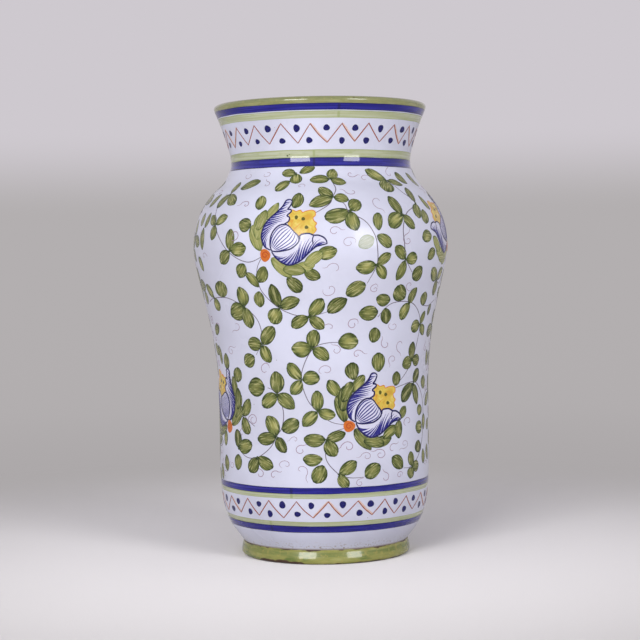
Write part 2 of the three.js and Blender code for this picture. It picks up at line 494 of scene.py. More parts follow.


# Copper green glaze on lip and foot: mottled, yellow where thin, brown where the clay shows at the edges.
# The levels are heights in mm: a dark streak fades in and out between four of them, a painted shade in the
# crease over the foot thickens from the first to the second, and so does wear
greenGlazeLooks = {
    "greenGlazeFoot": {
        "mid": "#959651", "light": "#aaa868", "dark": "#69793a", "yellow": "#b0a257", "wornAndShade": "#4a3325",
        # the second pair of levels is the painted shade at the top of the ring, in the crease over it
        "streakLevels": (7.5, 9.5, 11.5, 14.0), "darkeningLevels": (14.9, 16.1), "wornLevels": (1.4, 0.0),
        "coat": 0.4,
    },
    "greenGlazeRim": {
        "mid": "#8f9159", "light": "#a3a470", "dark": "#7f8450", "yellow": "#9c985a", "wornAndShade": "#6a5738",
        "streakLevels": (495.0, 496.0, 498.0, 499.8), "darkeningLevels": (530, 540), "wornLevels": (484, 480),
        "coat": 1.0,
    },
}
chipping = {
    "sides": ((-22, -34), (-74, -64)),  # mm to the side between which the foot's edge is chipped
    "rise": 3.3,  # mm that the wear reaches higher there
}


def makeGreenGlaze(name):
    look = greenGlazeLooks[name]
    streakLow, streakFull, streakFading, streakTop = (height * mm for height in look["streakLevels"])
    darkeningLevels, wornLevels = ([height * mm for height in look[key]] for key in ("darkeningLevels", "wornLevels"))
    material, add, place = startMaterial(name)
    axes = add("ShaderNodeSeparateXYZ", [place])
    sideways, level = axes.outputs["X"], axes.outputs["Z"]
    broad = add("ShaderNodeTexNoise", {
        "Vector": add("ShaderNodeMapping", {"Vector": place, "Scale": (1, 1, 5)}),
        "Scale": 38.0, "Detail": 5.0,
    })
    mottle = add("ShaderNodeTexNoise", {"Vector": place, "Scale": 260.0, "Detail": 4.0})
    tone = add("ShaderNodeValToRGB", [broad], [
        (0.32, look["dark"]), (0.46, look["mid"]), (0.56, look["mid"]), (0.72, look["light"]),
    ])
    streak = add("ShaderNodeMath", [
        add("ShaderNodeMapRange", [level, streakLow, streakFull]),
        add("ShaderNodeMapRange", [level, streakTop, streakFading]),
    ], operation="MULTIPLY")
    broken = add("ShaderNodeMath", [
        streak, add("ShaderNodeMapRange", [broad, 0.38, 0.6, 0.25, 0.9]),
    ], operation="MULTIPLY")
    streaked = add("ShaderNodeMix", {0: broken, 6: tone, 7: look["dark"]})
    yellowed = add("ShaderNodeMix", {
        0: add("ShaderNodeMapRange", [mottle, 0.52, 0.7, 0.0, 0.55]),
        6: streaked, 7: look["yellow"],
    })
    speck = addSpecks(add, place, 110.0, (0.13, 0.07), (0.55, 0.6), 0.75)
    specked = add("ShaderNodeMix", {0: speck, 6: yellowed, 7: look["wornAndShade"]})
    # the height wanders, so that the worn edge and the painted crease shade are ragged
    ragged = add("ShaderNodeTexNoise", {"Vector": place, "Scale": 90.0, "Detail": 5.0})
    height = add("ShaderNodeMath", [
        add("ShaderNodeMapRange", [ragged, 0.2, 0.8, -2.2 * mm, 2.2 * mm], **even), level,
    ], operation="ADD")
    # painted shade in the crease at the top of the foot ring; the rim never reaches these levels
    darkening = add("ShaderNodeMapRange", [height, *darkeningLevels])
    bare = add("ShaderNodeMapRange", [height, *wornLevels])
    # it was set down hardest on its left front, where the edge is chipped higher up
    chippedSide = add("ShaderNodeMath", [
        add("ShaderNodeMapRange", [sideways, *(side * mm for side in sides)])
        for sides in chipping["sides"]
    ], operation="MULTIPLY")
    chipLevel = add("ShaderNodeMath", [
        chippedSide, -chipping["rise"] * mm, height,
    ], operation="MULTIPLY_ADD")
    chips = add("ShaderNodeMapRange", [chipLevel, *wornLevels])
    worst = add("ShaderNodeMath", [bare, chips], operation="MAXIMUM")
    # wear, and on the foot the painted crease shade, turn the glaze to the dark brown
    wearAndCreaseShade = add("ShaderNodeMath", [darkening, worst], operation="MAXIMUM")
    colour = add("ShaderNodeMix", {0: wearAndCreaseShade, 6: specked, 7: look["wornAndShade"]})
    roughness = add("ShaderNodeMath", [
        wearAndCreaseShade, 0.4, add("ShaderNodeMapRange", [broad, 0.3, 0.7, 0.2, 0.3]),
    ], operation="MULTIPLY_ADD")
    relief = add("ShaderNodeMath", [wearAndCreaseShade, -0.8, broad], operation="MULTIPLY_ADD")
    finishMaterial(add, colour, roughness, relief, 0.12, {"Coat Weight": look["coat"], **poolGloss})
    return material


footGlaze = makeGreenGlaze("greenGlazeFoot")
rimGlaze = makeGreenGlaze("greenGlazeRim")


# Bare fired stoneware: buff brown, dry and sandy, on the underside only
clayLook = {
    "tones": [(0.3, "#8f6547"), (0.5, "#a9805c"), (0.72, "#bd9a78")],
    "grit": "#5f4331",
    "glaze": "#d6d5e2",
    "glazeLevels": (24, 26),  # mm of height: over this is the inside, which was glazed with the rest
}


def makeBareClay():
    look = clayLook
    material, add, place = startMaterial("bareStoneware")
    axes = add("ShaderNodeSeparateXYZ", [place])
    sand = add("ShaderNodeTexNoise", {"Vector": place, "Scale": 900.0, "Detail": 3.0})
    fire = add("ShaderNodeTexNoise", {"Vector": place, "Scale": 22.0, "Detail": 4.0})
    clay = add("ShaderNodeValToRGB", [fire], look["tones"])
    grit = add("ShaderNodeMix", {
        0: add("ShaderNodeMapRange", [sand, 0.62, 0.72]), 6: clay, 7: look["grit"],
    })
    height = [axes.outputs["Z"], *(level * mm for level in look["glazeLevels"])]
    glazed = add("ShaderNodeMapRange", height)
    colour = add("ShaderNodeMix", {0: glazed, 6: grit, 7: look["glaze"]})
    roughness = add("ShaderNodeMapRange", [*height, 0.85, 0.25])
    finishMaterial(add, colour, roughness, sand, 0.1, {})
    return material


bareClay = makeBareClay()


# The six pieces of clay
footShape = {
    "width": 14.8,
    "bevel": 3,
    "rolledUnder": 3.8,
    "widestLevel": 4.2,
    "slopeTop": 13.6,  # over this the face is upright again, up to the crease
    "slopeLeans": (0, -3),
    "slopePulls": (0.35, 0.1),
    "topRadius": 92.4,
}
standing = footWidest - footShape["rolledUnder"]
footOutline = [(standing, 0)]
for step in range(1, 11):
    turn = math.pi / 2 * (step / 10 - 1)
    footOutline.append((
        standing + footShape["rolledUnder"] * math.cos(turn),
        footShape["widestLevel"] * (1 + math.sin(turn)),
    ))
slope = footShape["slopeLeans"], footShape["slopePulls"]
riseTo(footOutline, footShape["topRadius"], footShape["slopeTop"], *slope, 10)
footInner = footShape["topRadius"] - footShape["width"]
footOutline += [
    (footShape["topRadius"] - 0.1, footTop), (footInner, footTop),
    (footInner, footShape["bevel"]), (footInner + footShape["bevel"], 0),
]
turnPiece("footRing", footOutline, footGlaze, "foot_glaze", "foot_ring")


def lowerDepth(height):
    share = min(1, max(0, (height - footTop) / (shape["waistStart"] - footTop)))
    return mix(shape["heelThickness"], shape["wallThickness"], share)


def wallDepth(height):
    return shape["wallThickness"]


lowerInner = [point for point in insideOf(lowerSkin, lowerDepth) if point[1] > floorHigh + 0.5]
upperInner, neckInner = insideOf(upperSkin, wallDepth), insideOf(neckSkin, wallDepth)
floorRadius = lowerInner[0][0] - shape["floorSlip"]
seatRadius = shape["heelRadius"] - shape["floorSeatWidth"]
lowerOutline = lowerSkin + thinned(lowerInner)[::-1] + [(floorRadius, floorHigh), (seatRadius, footTop)]
turnPiece("lowerBody", lowerOutline, tinGlaze, "white_glaze", "lower_body")
turnPiece("baseFloor", [
    (0, footTop), (seatRadius * 0.5, footTop), (seatRadius - 0.05, footTop),
    (floorRadius - 0.05, floorHigh), (floorRadius * 0.5, floorHigh), (0, floorHigh),
], bareClay, "bare_clay", "base_floor", closed=False)
turnPiece("upperBody", upperSkin + thinned(upperInner)[::-1], tinGlaze, "white_glaze", "upper_body")
turnPiece("neck", neckSkin + thinned(neckInner)[::-1], tinGlaze, "white_glaze", "neck")
turnPiece("rimLip", lipSkin + [neckInner[-1]], rimGlaze, "rim_glaze", "rim_lip")
print("pot turned: six pieces of clay")


# Painting: thin patches of colour laid on the skin, each closed and sunk a little into the glaze
def startPaint():
    bm = bmesh.new()
    return bm, bm.loops.layers.uv.new("OFBake")


def closePatch(bm, faces, depth):
    # a patch gets a back and sides, and its back is sunk by a depth in mm
    for edge in dict.fromkeys(edge for face in faces for edge in face.edges):
        if edge.is_boundary:
            edge.smooth = False
    for vert in bmesh.ops.extrude_face_region(bm, geom=faces)["geom"]:
        if isinstance(vert, bmesh.types.BMVert):
            vert.co.xy *= 1 - depth * mm / vert.co.xy.length


def paintBands(name, levels, material, lift):
    bm, uvLayer = startPaint()
    ways = bm.verts.layers.float.new("way")
    for number, (low, high) in enumerate(levels):
        lowWay, highWay = wayAt(low), wayAt(high)
        rowWays = [mix(lowWay, highWay, i / bands["rows"]) for i in range(bands["rows"] + 1)]
        line = [[value * mm for value in outlineAt(way)[:2]] for way in rowWays]
        before = set(bm.verts)
        spinLine(bm, line, potTurns, ways, rowWays)
        strip = [vert for vert in bm.verts if vert not in before]
        faces = list(dict.fromkeys(face for vert in strip for face in vert.link_faces))
        for face in faces:
            middle = aroundOf(face.calc_center_median())
            for loop in face.loops:
                around = aroundOf(loop.vert.co)
                share = (loop.vert[ways] - lowWay) / (highWay - lowWay)
                up = mix(bands["tileInset"], 1 - bands["tileInset"], share)
                loop[uvLayer].uv = around + round(middle - around), (number + up) / bands["tiles"]
        for vert in strip:
            angle = angleOf(vert.co)
            share = (vert[ways] - lowWay) / (highWay - lowWay)
            wander = Vector((4 * math.sin(angle), 4 * math.cos(angle), 9.3 * number + 4 * share))
            vert.co = skinPoint(angle, vert[ways] + bands["waver"] * noise.noise(wander), lift)
        closePatch(bm, faces, bands["sunk"])
    addPiece(name, bm, material, "white_glaze")


paintBands("greenBands", bands["green"], greenWash, bands["lifts"]["green"])
paintBands("cobaltBands", bands["cobalt"], cobaltBand, bands["lifts"]["cobalt"])
print("bands laid")


# How each kind of paint lies: mm off the glaze, so that what was painted later lies over what came before
lifts = {
    "curl": 0.1, "stem": 0.11, "leaf": 0.12, "lobe": 0.12, "bleed": 0.12, "upBleed": 0.13, "crown": 0.19,
    "dot": 0.2, "down": 0.2, "up": 0.22, "leftPetal": 0.2, "rightPetal": 0.22, "centrePetal": 0.24,
    "node": 0.24, "crownDot": 0.25, "blot": 0.26, "crownLine": 0.27, "hatch": 0.29, "vein": 0.31,
    "petalLine": 0.33, "centreLine": 0.34, "knot": 0.36, "swirl": 0.4,
}
brush = {
    "turn": 0.45,  # degrees that the whole painting is turned round the pot
    "sunk": 0.45,  # mm that the closed back of a patch lies deeper
    "uvShare": 0.47,  # half of a tile, less a rim that keeps it from the next
    "strokeTiles": 8,  # a stroke takes one of so many rows of the UV
    "leafTiles": 4,  # a leaf takes one of so many squares each way
}
wholeTile = (0, 0, 1, 1)


def strokeTile(row):
    return 0, row / brush["strokeTiles"], 1, 1 / brush["strokeTiles"]


def anyTile(rng):
    return strokeTile(rng.randrange(brush["strokeTiles"]))


def paintPatch(bm, columns, rows, place, tile=wholeTile, rounded=False):
    # place(x, y) turns -1..1 both ways into (angle, way, lift); tile is its share of the UV square
    uvLayer = bm.loops.layers.uv["OFBake"]
    verts = bmesh.ops.create_grid(bm, x_segments=columns, y_segments=rows, size=1)["verts"]
    faces = list(dict.fromkeys(face for vert in verts for face in vert.link_faces))
    if rounded:  # the square grid becomes a disc
        for vert in verts:
            x, y = vert.co.x, vert.co.y
            vert.co.xy = x * math.sqrt(1 - y * y / 2), y * math.sqrt(1 - x * x / 2)
    for face in faces:
        for loop in face.loops:
            loop[uvLayer].uv = (
                tile[0] + tile[2] * (0.5 + brush["uvShare"] * loop.vert.co.x),
                tile[1] + tile[3] * (0.5 + brush["uvShare"] * loop.vert.co.y),
            )
    for vert in verts:
        vert.co = skinPoint(*place(vert.co.x, vert.co.y))
    closePatch(bm, faces, brush["sunk"])


def smoothLine(points, spacing):
    # a curve through every point, then stepped evenly: by a spacing in mm, or into a whole number of steps
    fine = []
    for i in range(len(points) - 1):
        near = [points[min(len(points) - 1, max(0, i + k))] for k in (-1, 0, 1, 2)]
        for step in range(8):
            t = step / 8
            fine.append(tuple(
                b + 0.5 * t * (c - a + t * (2 * a - 5 * b + 4 * c - d + t * (3 * b - a - 3 * c + d)))
                for a, b, c, d in zip(*near)
            ))
    fine.append(tuple(points[-1]))
    ways = [0]
    for before, after in zip(fine, fine[1:]):
        ways.append(ways[-1] + math.dist(before, after))
    count = spacing if isinstance(spacing, int) else max(2, round(ways[-1] / spacing))
    line, k = [], 1
    for step in range(count + 1):
        way = ways[-1] * step / count
        while k < len(fine) - 1 and ways[k] < way:
            k += 1
        share = (way - ways[k - 1]) / max(1e-9, ways[k] - ways[k - 1])
        line.append(tuple(mix(a, b, share) for a, b in zip(fine[k - 1], fine[k])))
    return line


def onPot(home, over, up, lift):
    # a place given in mm round and up from home
    return home[0] + over / home[2], home[1] + up, lift


def paintStroke(bm, home, points, width, lift, spacing, ends=(0.5, 0.3), tile=wholeTile, fade=5):
    # one pull of the brush through points given in mm round and up from home, narrowing to its two ends;
    # a small fade thins it from far back
    line = smoothLine(points, spacing)
    count = len(line) - 1

    def place(x, y):
        i = round((x + 1) / 2 * count)
        t = i / count
        half = width / 2 * min(mix(ends[0], 1, min(1, t * 5)), mix(ends[1], 1, min(1, (1 - t) * fade)))
        out = outwardAt(line, i)
        return onPot(home, line[i][0] - out[0] * half * y, line[i][1] - out[1] * half * y, lift)

    paintPatch(bm, count, 1, place, tile)


def homeAt(degrees, height):
    # where a bit of painting starts, given in degrees from the front and mm of height
    angle, way = math.radians(degrees + brush["turn"]), wayAt(height)
    return angle, way, outlineAt(way)[0]


def toward(home, other):
    # another home seen from this one, in mm round and up
    return (other[0] - home[0]) * home[2], other[1] - home[1]


def paintLeaf(bm, home, centre, direction, length, width, lift, rng, columns=6, rows=3):
    # an oval, pointed more or less at its tip, laid along its direction
    c, s = math.cos(direction), math.sin(direction)
    tipTaper = rng.uniform(0.0, 0.28)
    baseTaper = rng.uniform(0.02, 0.22)
    egg = rng.uniform(-0.12, 0.14)
    bend = rng.uniform(-0.06, 0.06) * length
    side = brush["leafTiles"]
    cell = rng.randrange(side * side)

    def place(x, y):
        along = x * length / 2
        taper = tipTaper if x > 0 else baseTaper
        across = y * width / 2 * (1 + egg * x) * (1 - 0.96 * x * x) ** taper + bend * (1 - x * x)
        return onPot(home, centre[0] + along * c - across * s, centre[1] + along * s + across * c, lift)

    paintPatch(bm, columns, rows, place, (cell % side / side, cell // side / side, 1 / side, 1 / side), True)


def paintDot(bm, home, centre, radius, lift, rng, tile=wholeTile):
    stretch, lean = rng.uniform(0.88, 1.12), rng.uniform(0, math.pi)

    def place(x, y):
        swell = 1 + 0.06 * math.sin(3 * math.atan2(y, x) + lean)
        return onPot(
            home, centre[0] + x * radius * swell * stretch, centre[1] + y * radius * swell / stretch, lift,
        )

    paintPatch(bm, 4, 4, place, tile, True)


# Paints for the brush. Each reads only its own UV, so every stroke of a kind shares one small map
def makeLinePaint(name, full, thin, pooled):
    # thin colour drawn with a pointed brush: full in the middle of a pull, thin where the brush ran dry
    material, add, uv = startMaterial(name, painted=True)
    stretched = add("ShaderNodeMapping", {"Vector": uv, "Scale": (6, 40, 1)})
    load = add("ShaderNodeTexNoise", {"Vector": stretched, "Scale": 1.0, "Detail": 3.0})
    tone = add("ShaderNodeValToRGB", [load], [(0.32, pooled), (0.47, full), (0.56, full), (0.72, thin)])
    finishMaterial(add, tone, (0.21, 0.29), load, 0.02, glazeGloss)
    return material


def makeLeafPaint(name, dark, mid, light, heartTone, rimTone, spotTone, rimShare):
    # copper green put on wet with a full brush: streaks along the leaf, a dark rim where it pooled,
    # and a dark touch where the brush set down
    material, add, uv = startMaterial(name, painted=True)
    tiles = brush["leafTiles"]
    tiled = add("ShaderNodeVectorMath", [uv, (tiles, tiles, 1)], operation="MULTIPLY")
    local = add("ShaderNodeVectorMath", [tiled], operation="FRACTION")
    cell = add("ShaderNodeVectorMath", [tiled], operation="FLOOR")
    apart = add("ShaderNodeVectorMath", [cell, (7.3, 11.1, 0)], operation="MULTIPLY")
    stretched = add("ShaderNodeVectorMath", [local, (1.6, 8.5, 1)], operation="MULTIPLY")
    streaks = add("ShaderNodeTexNoise", {
        "Vector": add("ShaderNodeVectorMath", [stretched, apart], operation="ADD"),
        "Scale": 1.0, "Detail": 4.0, "Roughness": 0.68,
    })
    blotch = add("ShaderNodeTexNoise", {
        "Vector": add("ShaderNodeVectorMath", [local, apart], operation="ADD"),
        "Scale": 2.6, "Detail": 3.0,
    })
    chance = add("ShaderNodeTexWhiteNoise", {"Vector": cell}, noise_dimensions="2D")
    chances = add("ShaderNodeSeparateColor", [chance.outputs["Color"]])
    centred = add("ShaderNodeVectorMath", [local, (0.5, 0.5, 0)], operation="SUBTRACT")
    away = add("ShaderNodeVectorMath", [centred], operation="LENGTH").outputs["Value"]
    rim = add("ShaderNodeMath", [
        add("ShaderNodeMapRange", [blotch, 0.3, 0.7, -0.05, 0.06], **even), away,
    ], operation="ADD")
    tone = add("ShaderNodeValToRGB", [streaks], [(0.4, dark), (0.47, mid), (0.52, mid), (0.61, light)])
    # the middle of a leaf is thinner and yellower than its sides, in some leaves more than in others
    heart = add("ShaderNodeMath", [
        add("ShaderNodeMapRange", [rim, 0.36, 0.05, 0.0, 0.7]), chances,
    ], operation="MULTIPLY")
    warmed = add("ShaderNodeMix", {0: heart, 6: tone, 7: heartTone})
    rimmed = add("ShaderNodeMix", {
        0: add("ShaderNodeMapRange", [rim, 0.37, 0.46, 0.0, rimShare]),
        6: warmed, 7: rimTone,
    })
    # the touch at the start shows on every leaf, the one at the tip on some
    start, tip = (
        add("ShaderNodeVectorMath", [local, (spot, 0.5, 0)], operation="DISTANCE").outputs["Value"]
        for spot in (0.05, 0.93)
    )
    atTip = add("ShaderNodeMath", [
        add("ShaderNodeMapRange", [tip, 0.16, 0.05]),
        add("ShaderNodeMapRange", [chances.outputs[1], 0.55, 0.7, 0.0, 0.6]),
    ], operation="MULTIPLY")
    touched = add("ShaderNodeMath", [
        add("ShaderNodeMapRange", [start, 0.17, 0.05, 0.0, 0.7]), atTip,
    ], operation="MAXIMUM")
    spotted = add("ShaderNodeMix", {0: touched, 6: rimmed, 7: spotTone})
    toned = add("ShaderNodeHueSaturation", {
        "Value": add("ShaderNodeMapRange", [chances, 0.0, 1.0, 0.82, 1.12], **even), "Color": spotted,
    })
    finishMaterial(add, toned, (0.2, 0.3), streaks, 0.04, glazeGloss)
    return material


def makePetalPaint(name, white, shade, wash):
    # white petals with a violet cobalt wash that fades inwards from the outer edge
    material, add, uv = startMaterial(name, painted=True)
    axes = add("ShaderNodeSeparateXYZ", [uv])
    flow = add("ShaderNodeTexNoise", {
        "Vector": add("ShaderNodeMapping", {"Vector": uv, "Scale": (16, 5, 1)}),
        "Scale": 1.0, "Detail": 4.0,
    })
    edge = add("ShaderNodeMath", [
        add("ShaderNodeMapRange", [flow, 0.3, 0.7, -0.16, 0.16], **even), axes.outputs["Y"],
    ], operation="ADD")
    shaded = add("ShaderNodeMix", {
        0: add("ShaderNodeMapRange", [flow, 0.45, 0.75, 0.0, 0.55]),
        6: white, 7: shade,
    })
    washed = add("ShaderNodeMix", {
        0: add("ShaderNodeMapRange", [edge, 0.34, 0.02, 0.0, 0.85]),
        6: shaded, 7: wash,
    })
    finishMaterial(add, washed, (0.21, 0.29), flow, 0.02, glazeGloss)
    return material


def makeCrownPaint(name, tones, strokeTone):
    # antimony yellow, with orange strokes up from its base
    material, add, uv = startMaterial(name, painted=True)
    axes = add("ShaderNodeSeparateXYZ", [uv])
    strokes = add("ShaderNodeTexNoise", {
        "Vector": add("ShaderNodeMapping", {"Vector": uv, "Scale": (26, 2.5, 1)}),
        "Scale": 1.0, "Detail": 2.0,
    })
    cloud = add("ShaderNodeTexNoise", {"Vector": uv, "Scale": 5.0, "Detail": 4.0})
    tone = add("ShaderNodeValToRGB", [cloud], list(zip((0.34, 0.48, 0.58, 0.72), tones)))
    share = add("ShaderNodeMath", [
        add("ShaderNodeMapRange", [strokes, 0.52, 0.6, 0.0, 0.8]),
        add("ShaderNodeMapRange", [axes.outputs["Y"], 0.62, 0.15]),
    ], operation="MULTIPLY")
    stroked = add("ShaderNodeMix", {0: share, 6: tone, 7: strokeTone})
    finishMaterial(add, stroked, (0.21, 0.3), cloud, 0.02, glazeGloss)
    return material


# The pieces of painting, in the order they are added. For each its paint: the function, the name of the
# finish and its tones
paintKinds = {
    # iron oxide: rust red lines, and the pale stain where they ran into the wet glaze
    "zigzagBleeds": (makeLinePaint, "ironBleed", "#d9bfb6", "#dad0d4", "#d3ab92"),
    "zigzagLines": (makeLinePaint, "ironRedLine", "#984a30", "#b87050", "#7a3c28"),
    # thick cobalt, a nearly black blue
    "borderDots": (makeLinePaint, "cobaltDot", "#1d1d63", "#2a2a7a", "#141448"),
    # thin manganese, a greyish purple, paler in the curls
    "vineStems": (makeLinePaint, "manganeseStem", "#6d6471", "#8e8794", "#544a59"),
    "vineCurls": (makeLinePaint, "manganeseCurl", "#a1879c", "#bcabbf", "#8c7286"),
    # copper green: full on the leaves, watery on the thin ones and paled further there by a painted
    # reflection, yellowish round the upper tulips
    "vineLeaves": (
        makeLeafPaint, "copperGreenLeaf", "#38441f", "#656f38", "#b0ad79", "#a3a05e",
        "#2f3d1d", "#28381c", 1.0,
    ),
    "thinLeavesWithPaintedReflection": (
        makeLeafPaint, "copperGreenThinWash", "#9da58f", "#a9afa1", "#bbbfb8", "#b6b8a8",
        "#8a9579", "#93a07c", 0.7,
    ),
    "leafNodes": (makeLinePaint, "copperGreenThick", "#3d4d24", "#52622f", "#2f3f1c"),
    "calyxLobes": (
        makeLeafPaint, "copperGreenCalyx", "#7a8344", "#979a5d", "#b8b780", "#a8a365",
        "#4d5f2b", "#7c8548", 0.95,
    ),
    # petals: white with a violet blue wash at the outer edge, hatched and outlined in cobalt
    "tulipPetals": (makePetalPaint, "cobaltWashPetal", "#dad9ec", "#bfbedf", "#6062b4"),
    "petalHatching": (makeLinePaint, "cobaltHatch", "#2b2a82", "#4d4ca2", "#1f1e68"),
    "tulipOutlines": (makeLinePaint, "cobaltLine", "#1c1a55", "#2a2970", "#131240"),
    # antimony yellow with orange strokes and line, and green dots
    "tulipCrowns": (
        makeCrownPaint, "antimonyYellow", ("#d1a440", "#d9bb4e", "#dcc258", "#e2cf76"), "#dc8a2e",
    ),
    "crownOutlines": (makeLinePaint, "ironOrangeLine", "#d9852f", "#e3a04a", "#c96a2c"),
    "crownDots": (makeLinePaint, "copperGreenDot", "#5d5a22", "#77732e", "#474a1c"),
    # an orange knot with a redder swirl
    "tulipKnots": (makeLinePaint, "ironOrangeKnot", "#cf7028", "#dd8a40", "#b95420"),
    "knotSwirls": (makeLinePaint, "ironRedSwirl", "#b94a22", "#c8602e", "#a03c1c"),
}
paints = {name: startPaint()[0] for name in paintKinds}


# Zigzag borders: peaks and valleys in degrees from the front, heights in mm
borders = {
    "neck": {
        "peaks": [-74, -57, -41, -23, -6, 12, 28, 47, 63],
        "top": 471.5, "foot": 452.0,
        "dotTop": 467.5, "dotLow": 454.4,
    },
    "foot": {
        "peaks": [-63, -47, -32, -16, 1, 17, 33, 49, 65],
        "top": 70.6, "foot": 54.0,
        "dotTop": 67.2, "dotLow": 57.2,
    },
    "lineWidth": 1.1,
    "bleedWidth": 2.6,
    "dotRadius": 3.45,
    "spacing": 2.6,  # mm between the steps of a stroke
    "around": 21,  # zigzags in the whole round
}


def paintBorder(border, rng):
    # the peaks seen from the front are given, the rest follow at the same pace with the hand's own unevenness
    lines, bleeds, dots = (paints[name] for name in ("zigzagLines", "zigzagBleeds", "borderDots"))
    spacing = borders["spacing"]
    seen = border["peaks"]
    unseen = borders["around"] - len(seen)
    gap = 360 - (seen[-1] - seen[0])
    peaks = seen + [seen[-1] + gap * i / (unseen + 1) + rng.uniform(-1.2, 1.2) for i in range(1, unseen + 1)]
    for peak, following in zip(peaks, peaks[1:] + [peaks[0] + 360]):
        valley = mix(peak, following, 0.5 + rng.uniform(-0.04, 0.04))
        high, low = border["top"] + rng.uniform(-0.7, 0.9), border["foot"] + rng.uniform(-1.4, 1.0)
        start, bottom = homeAt(peak, high), homeAt(valley, low)
        end = homeAt(following, border["top"] + rng.uniform(-0.6, 0.6))
        fall, rise = toward(start, bottom), toward(bottom, end)
        tile = anyTile(rng)
        bow = rng.uniform(0.2, 0.9)
        down = [(0, 0), (fall[0] * 0.5 - bow, fall[1] * 0.5 - bow), fall]
        up = [(0, 0), (rise[0] * 0.5 + 0.2, rise[1] * 0.5), (rise[0] + 0.3, rise[1] + 0.6)]
        if rng.random() < 0.4:
            shifted = [(x + 0.8, y + 0.5) for x, y in down]
            width = borders["bleedWidth"] * rng.uniform(0.7, 1.1)
            paintStroke(bleeds, start, shifted, width, lifts["bleed"], spacing, (0.3, 0.8), tile)
        if rng.random() < 0.15:
            shifted = [(x - 0.7, y + 0.4) for x, y in up]
            width = borders["bleedWidth"] * 0.7
            paintStroke(bleeds, bottom, shifted, width, lifts["upBleed"], spacing, (0.3, 0.6), tile)
        width = borders["lineWidth"] * rng.uniform(0.85, 1.15)
        paintStroke(lines, start, down, width, lifts["down"], spacing, (0.9, 0.7), tile)
        width = borders["lineWidth"] * rng.uniform(0.75, 1.05)
        paintStroke(lines, bottom, up, width, lifts["up"], spacing, (0.8, 0.6), tile)
        middle = mix(peak, following, 0.5)
        over = homeAt(middle + rng.uniform(-1, 1), border["dotTop"] + rng.uniform(-0.8, 0.6))
        under = homeAt(peak + rng.uniform(-1, 1.2), border["dotLow"] + rng.uniform(-0.8, 0.8))
        for home, least, most in ((over, 0.92, 1.15), (under, 0.85, 1.05)):
            radius = borders["dotRadius"] * rng.uniform(least, most)
            paintDot(dots, home, (0, 0), radius, lifts["dot"], rng, tile)


borderRandom = random.Random(7)
paintBorder(borders["neck"], borderRandom)
paintBorder(borders["foot"], borderRandom)
print("borders painted")


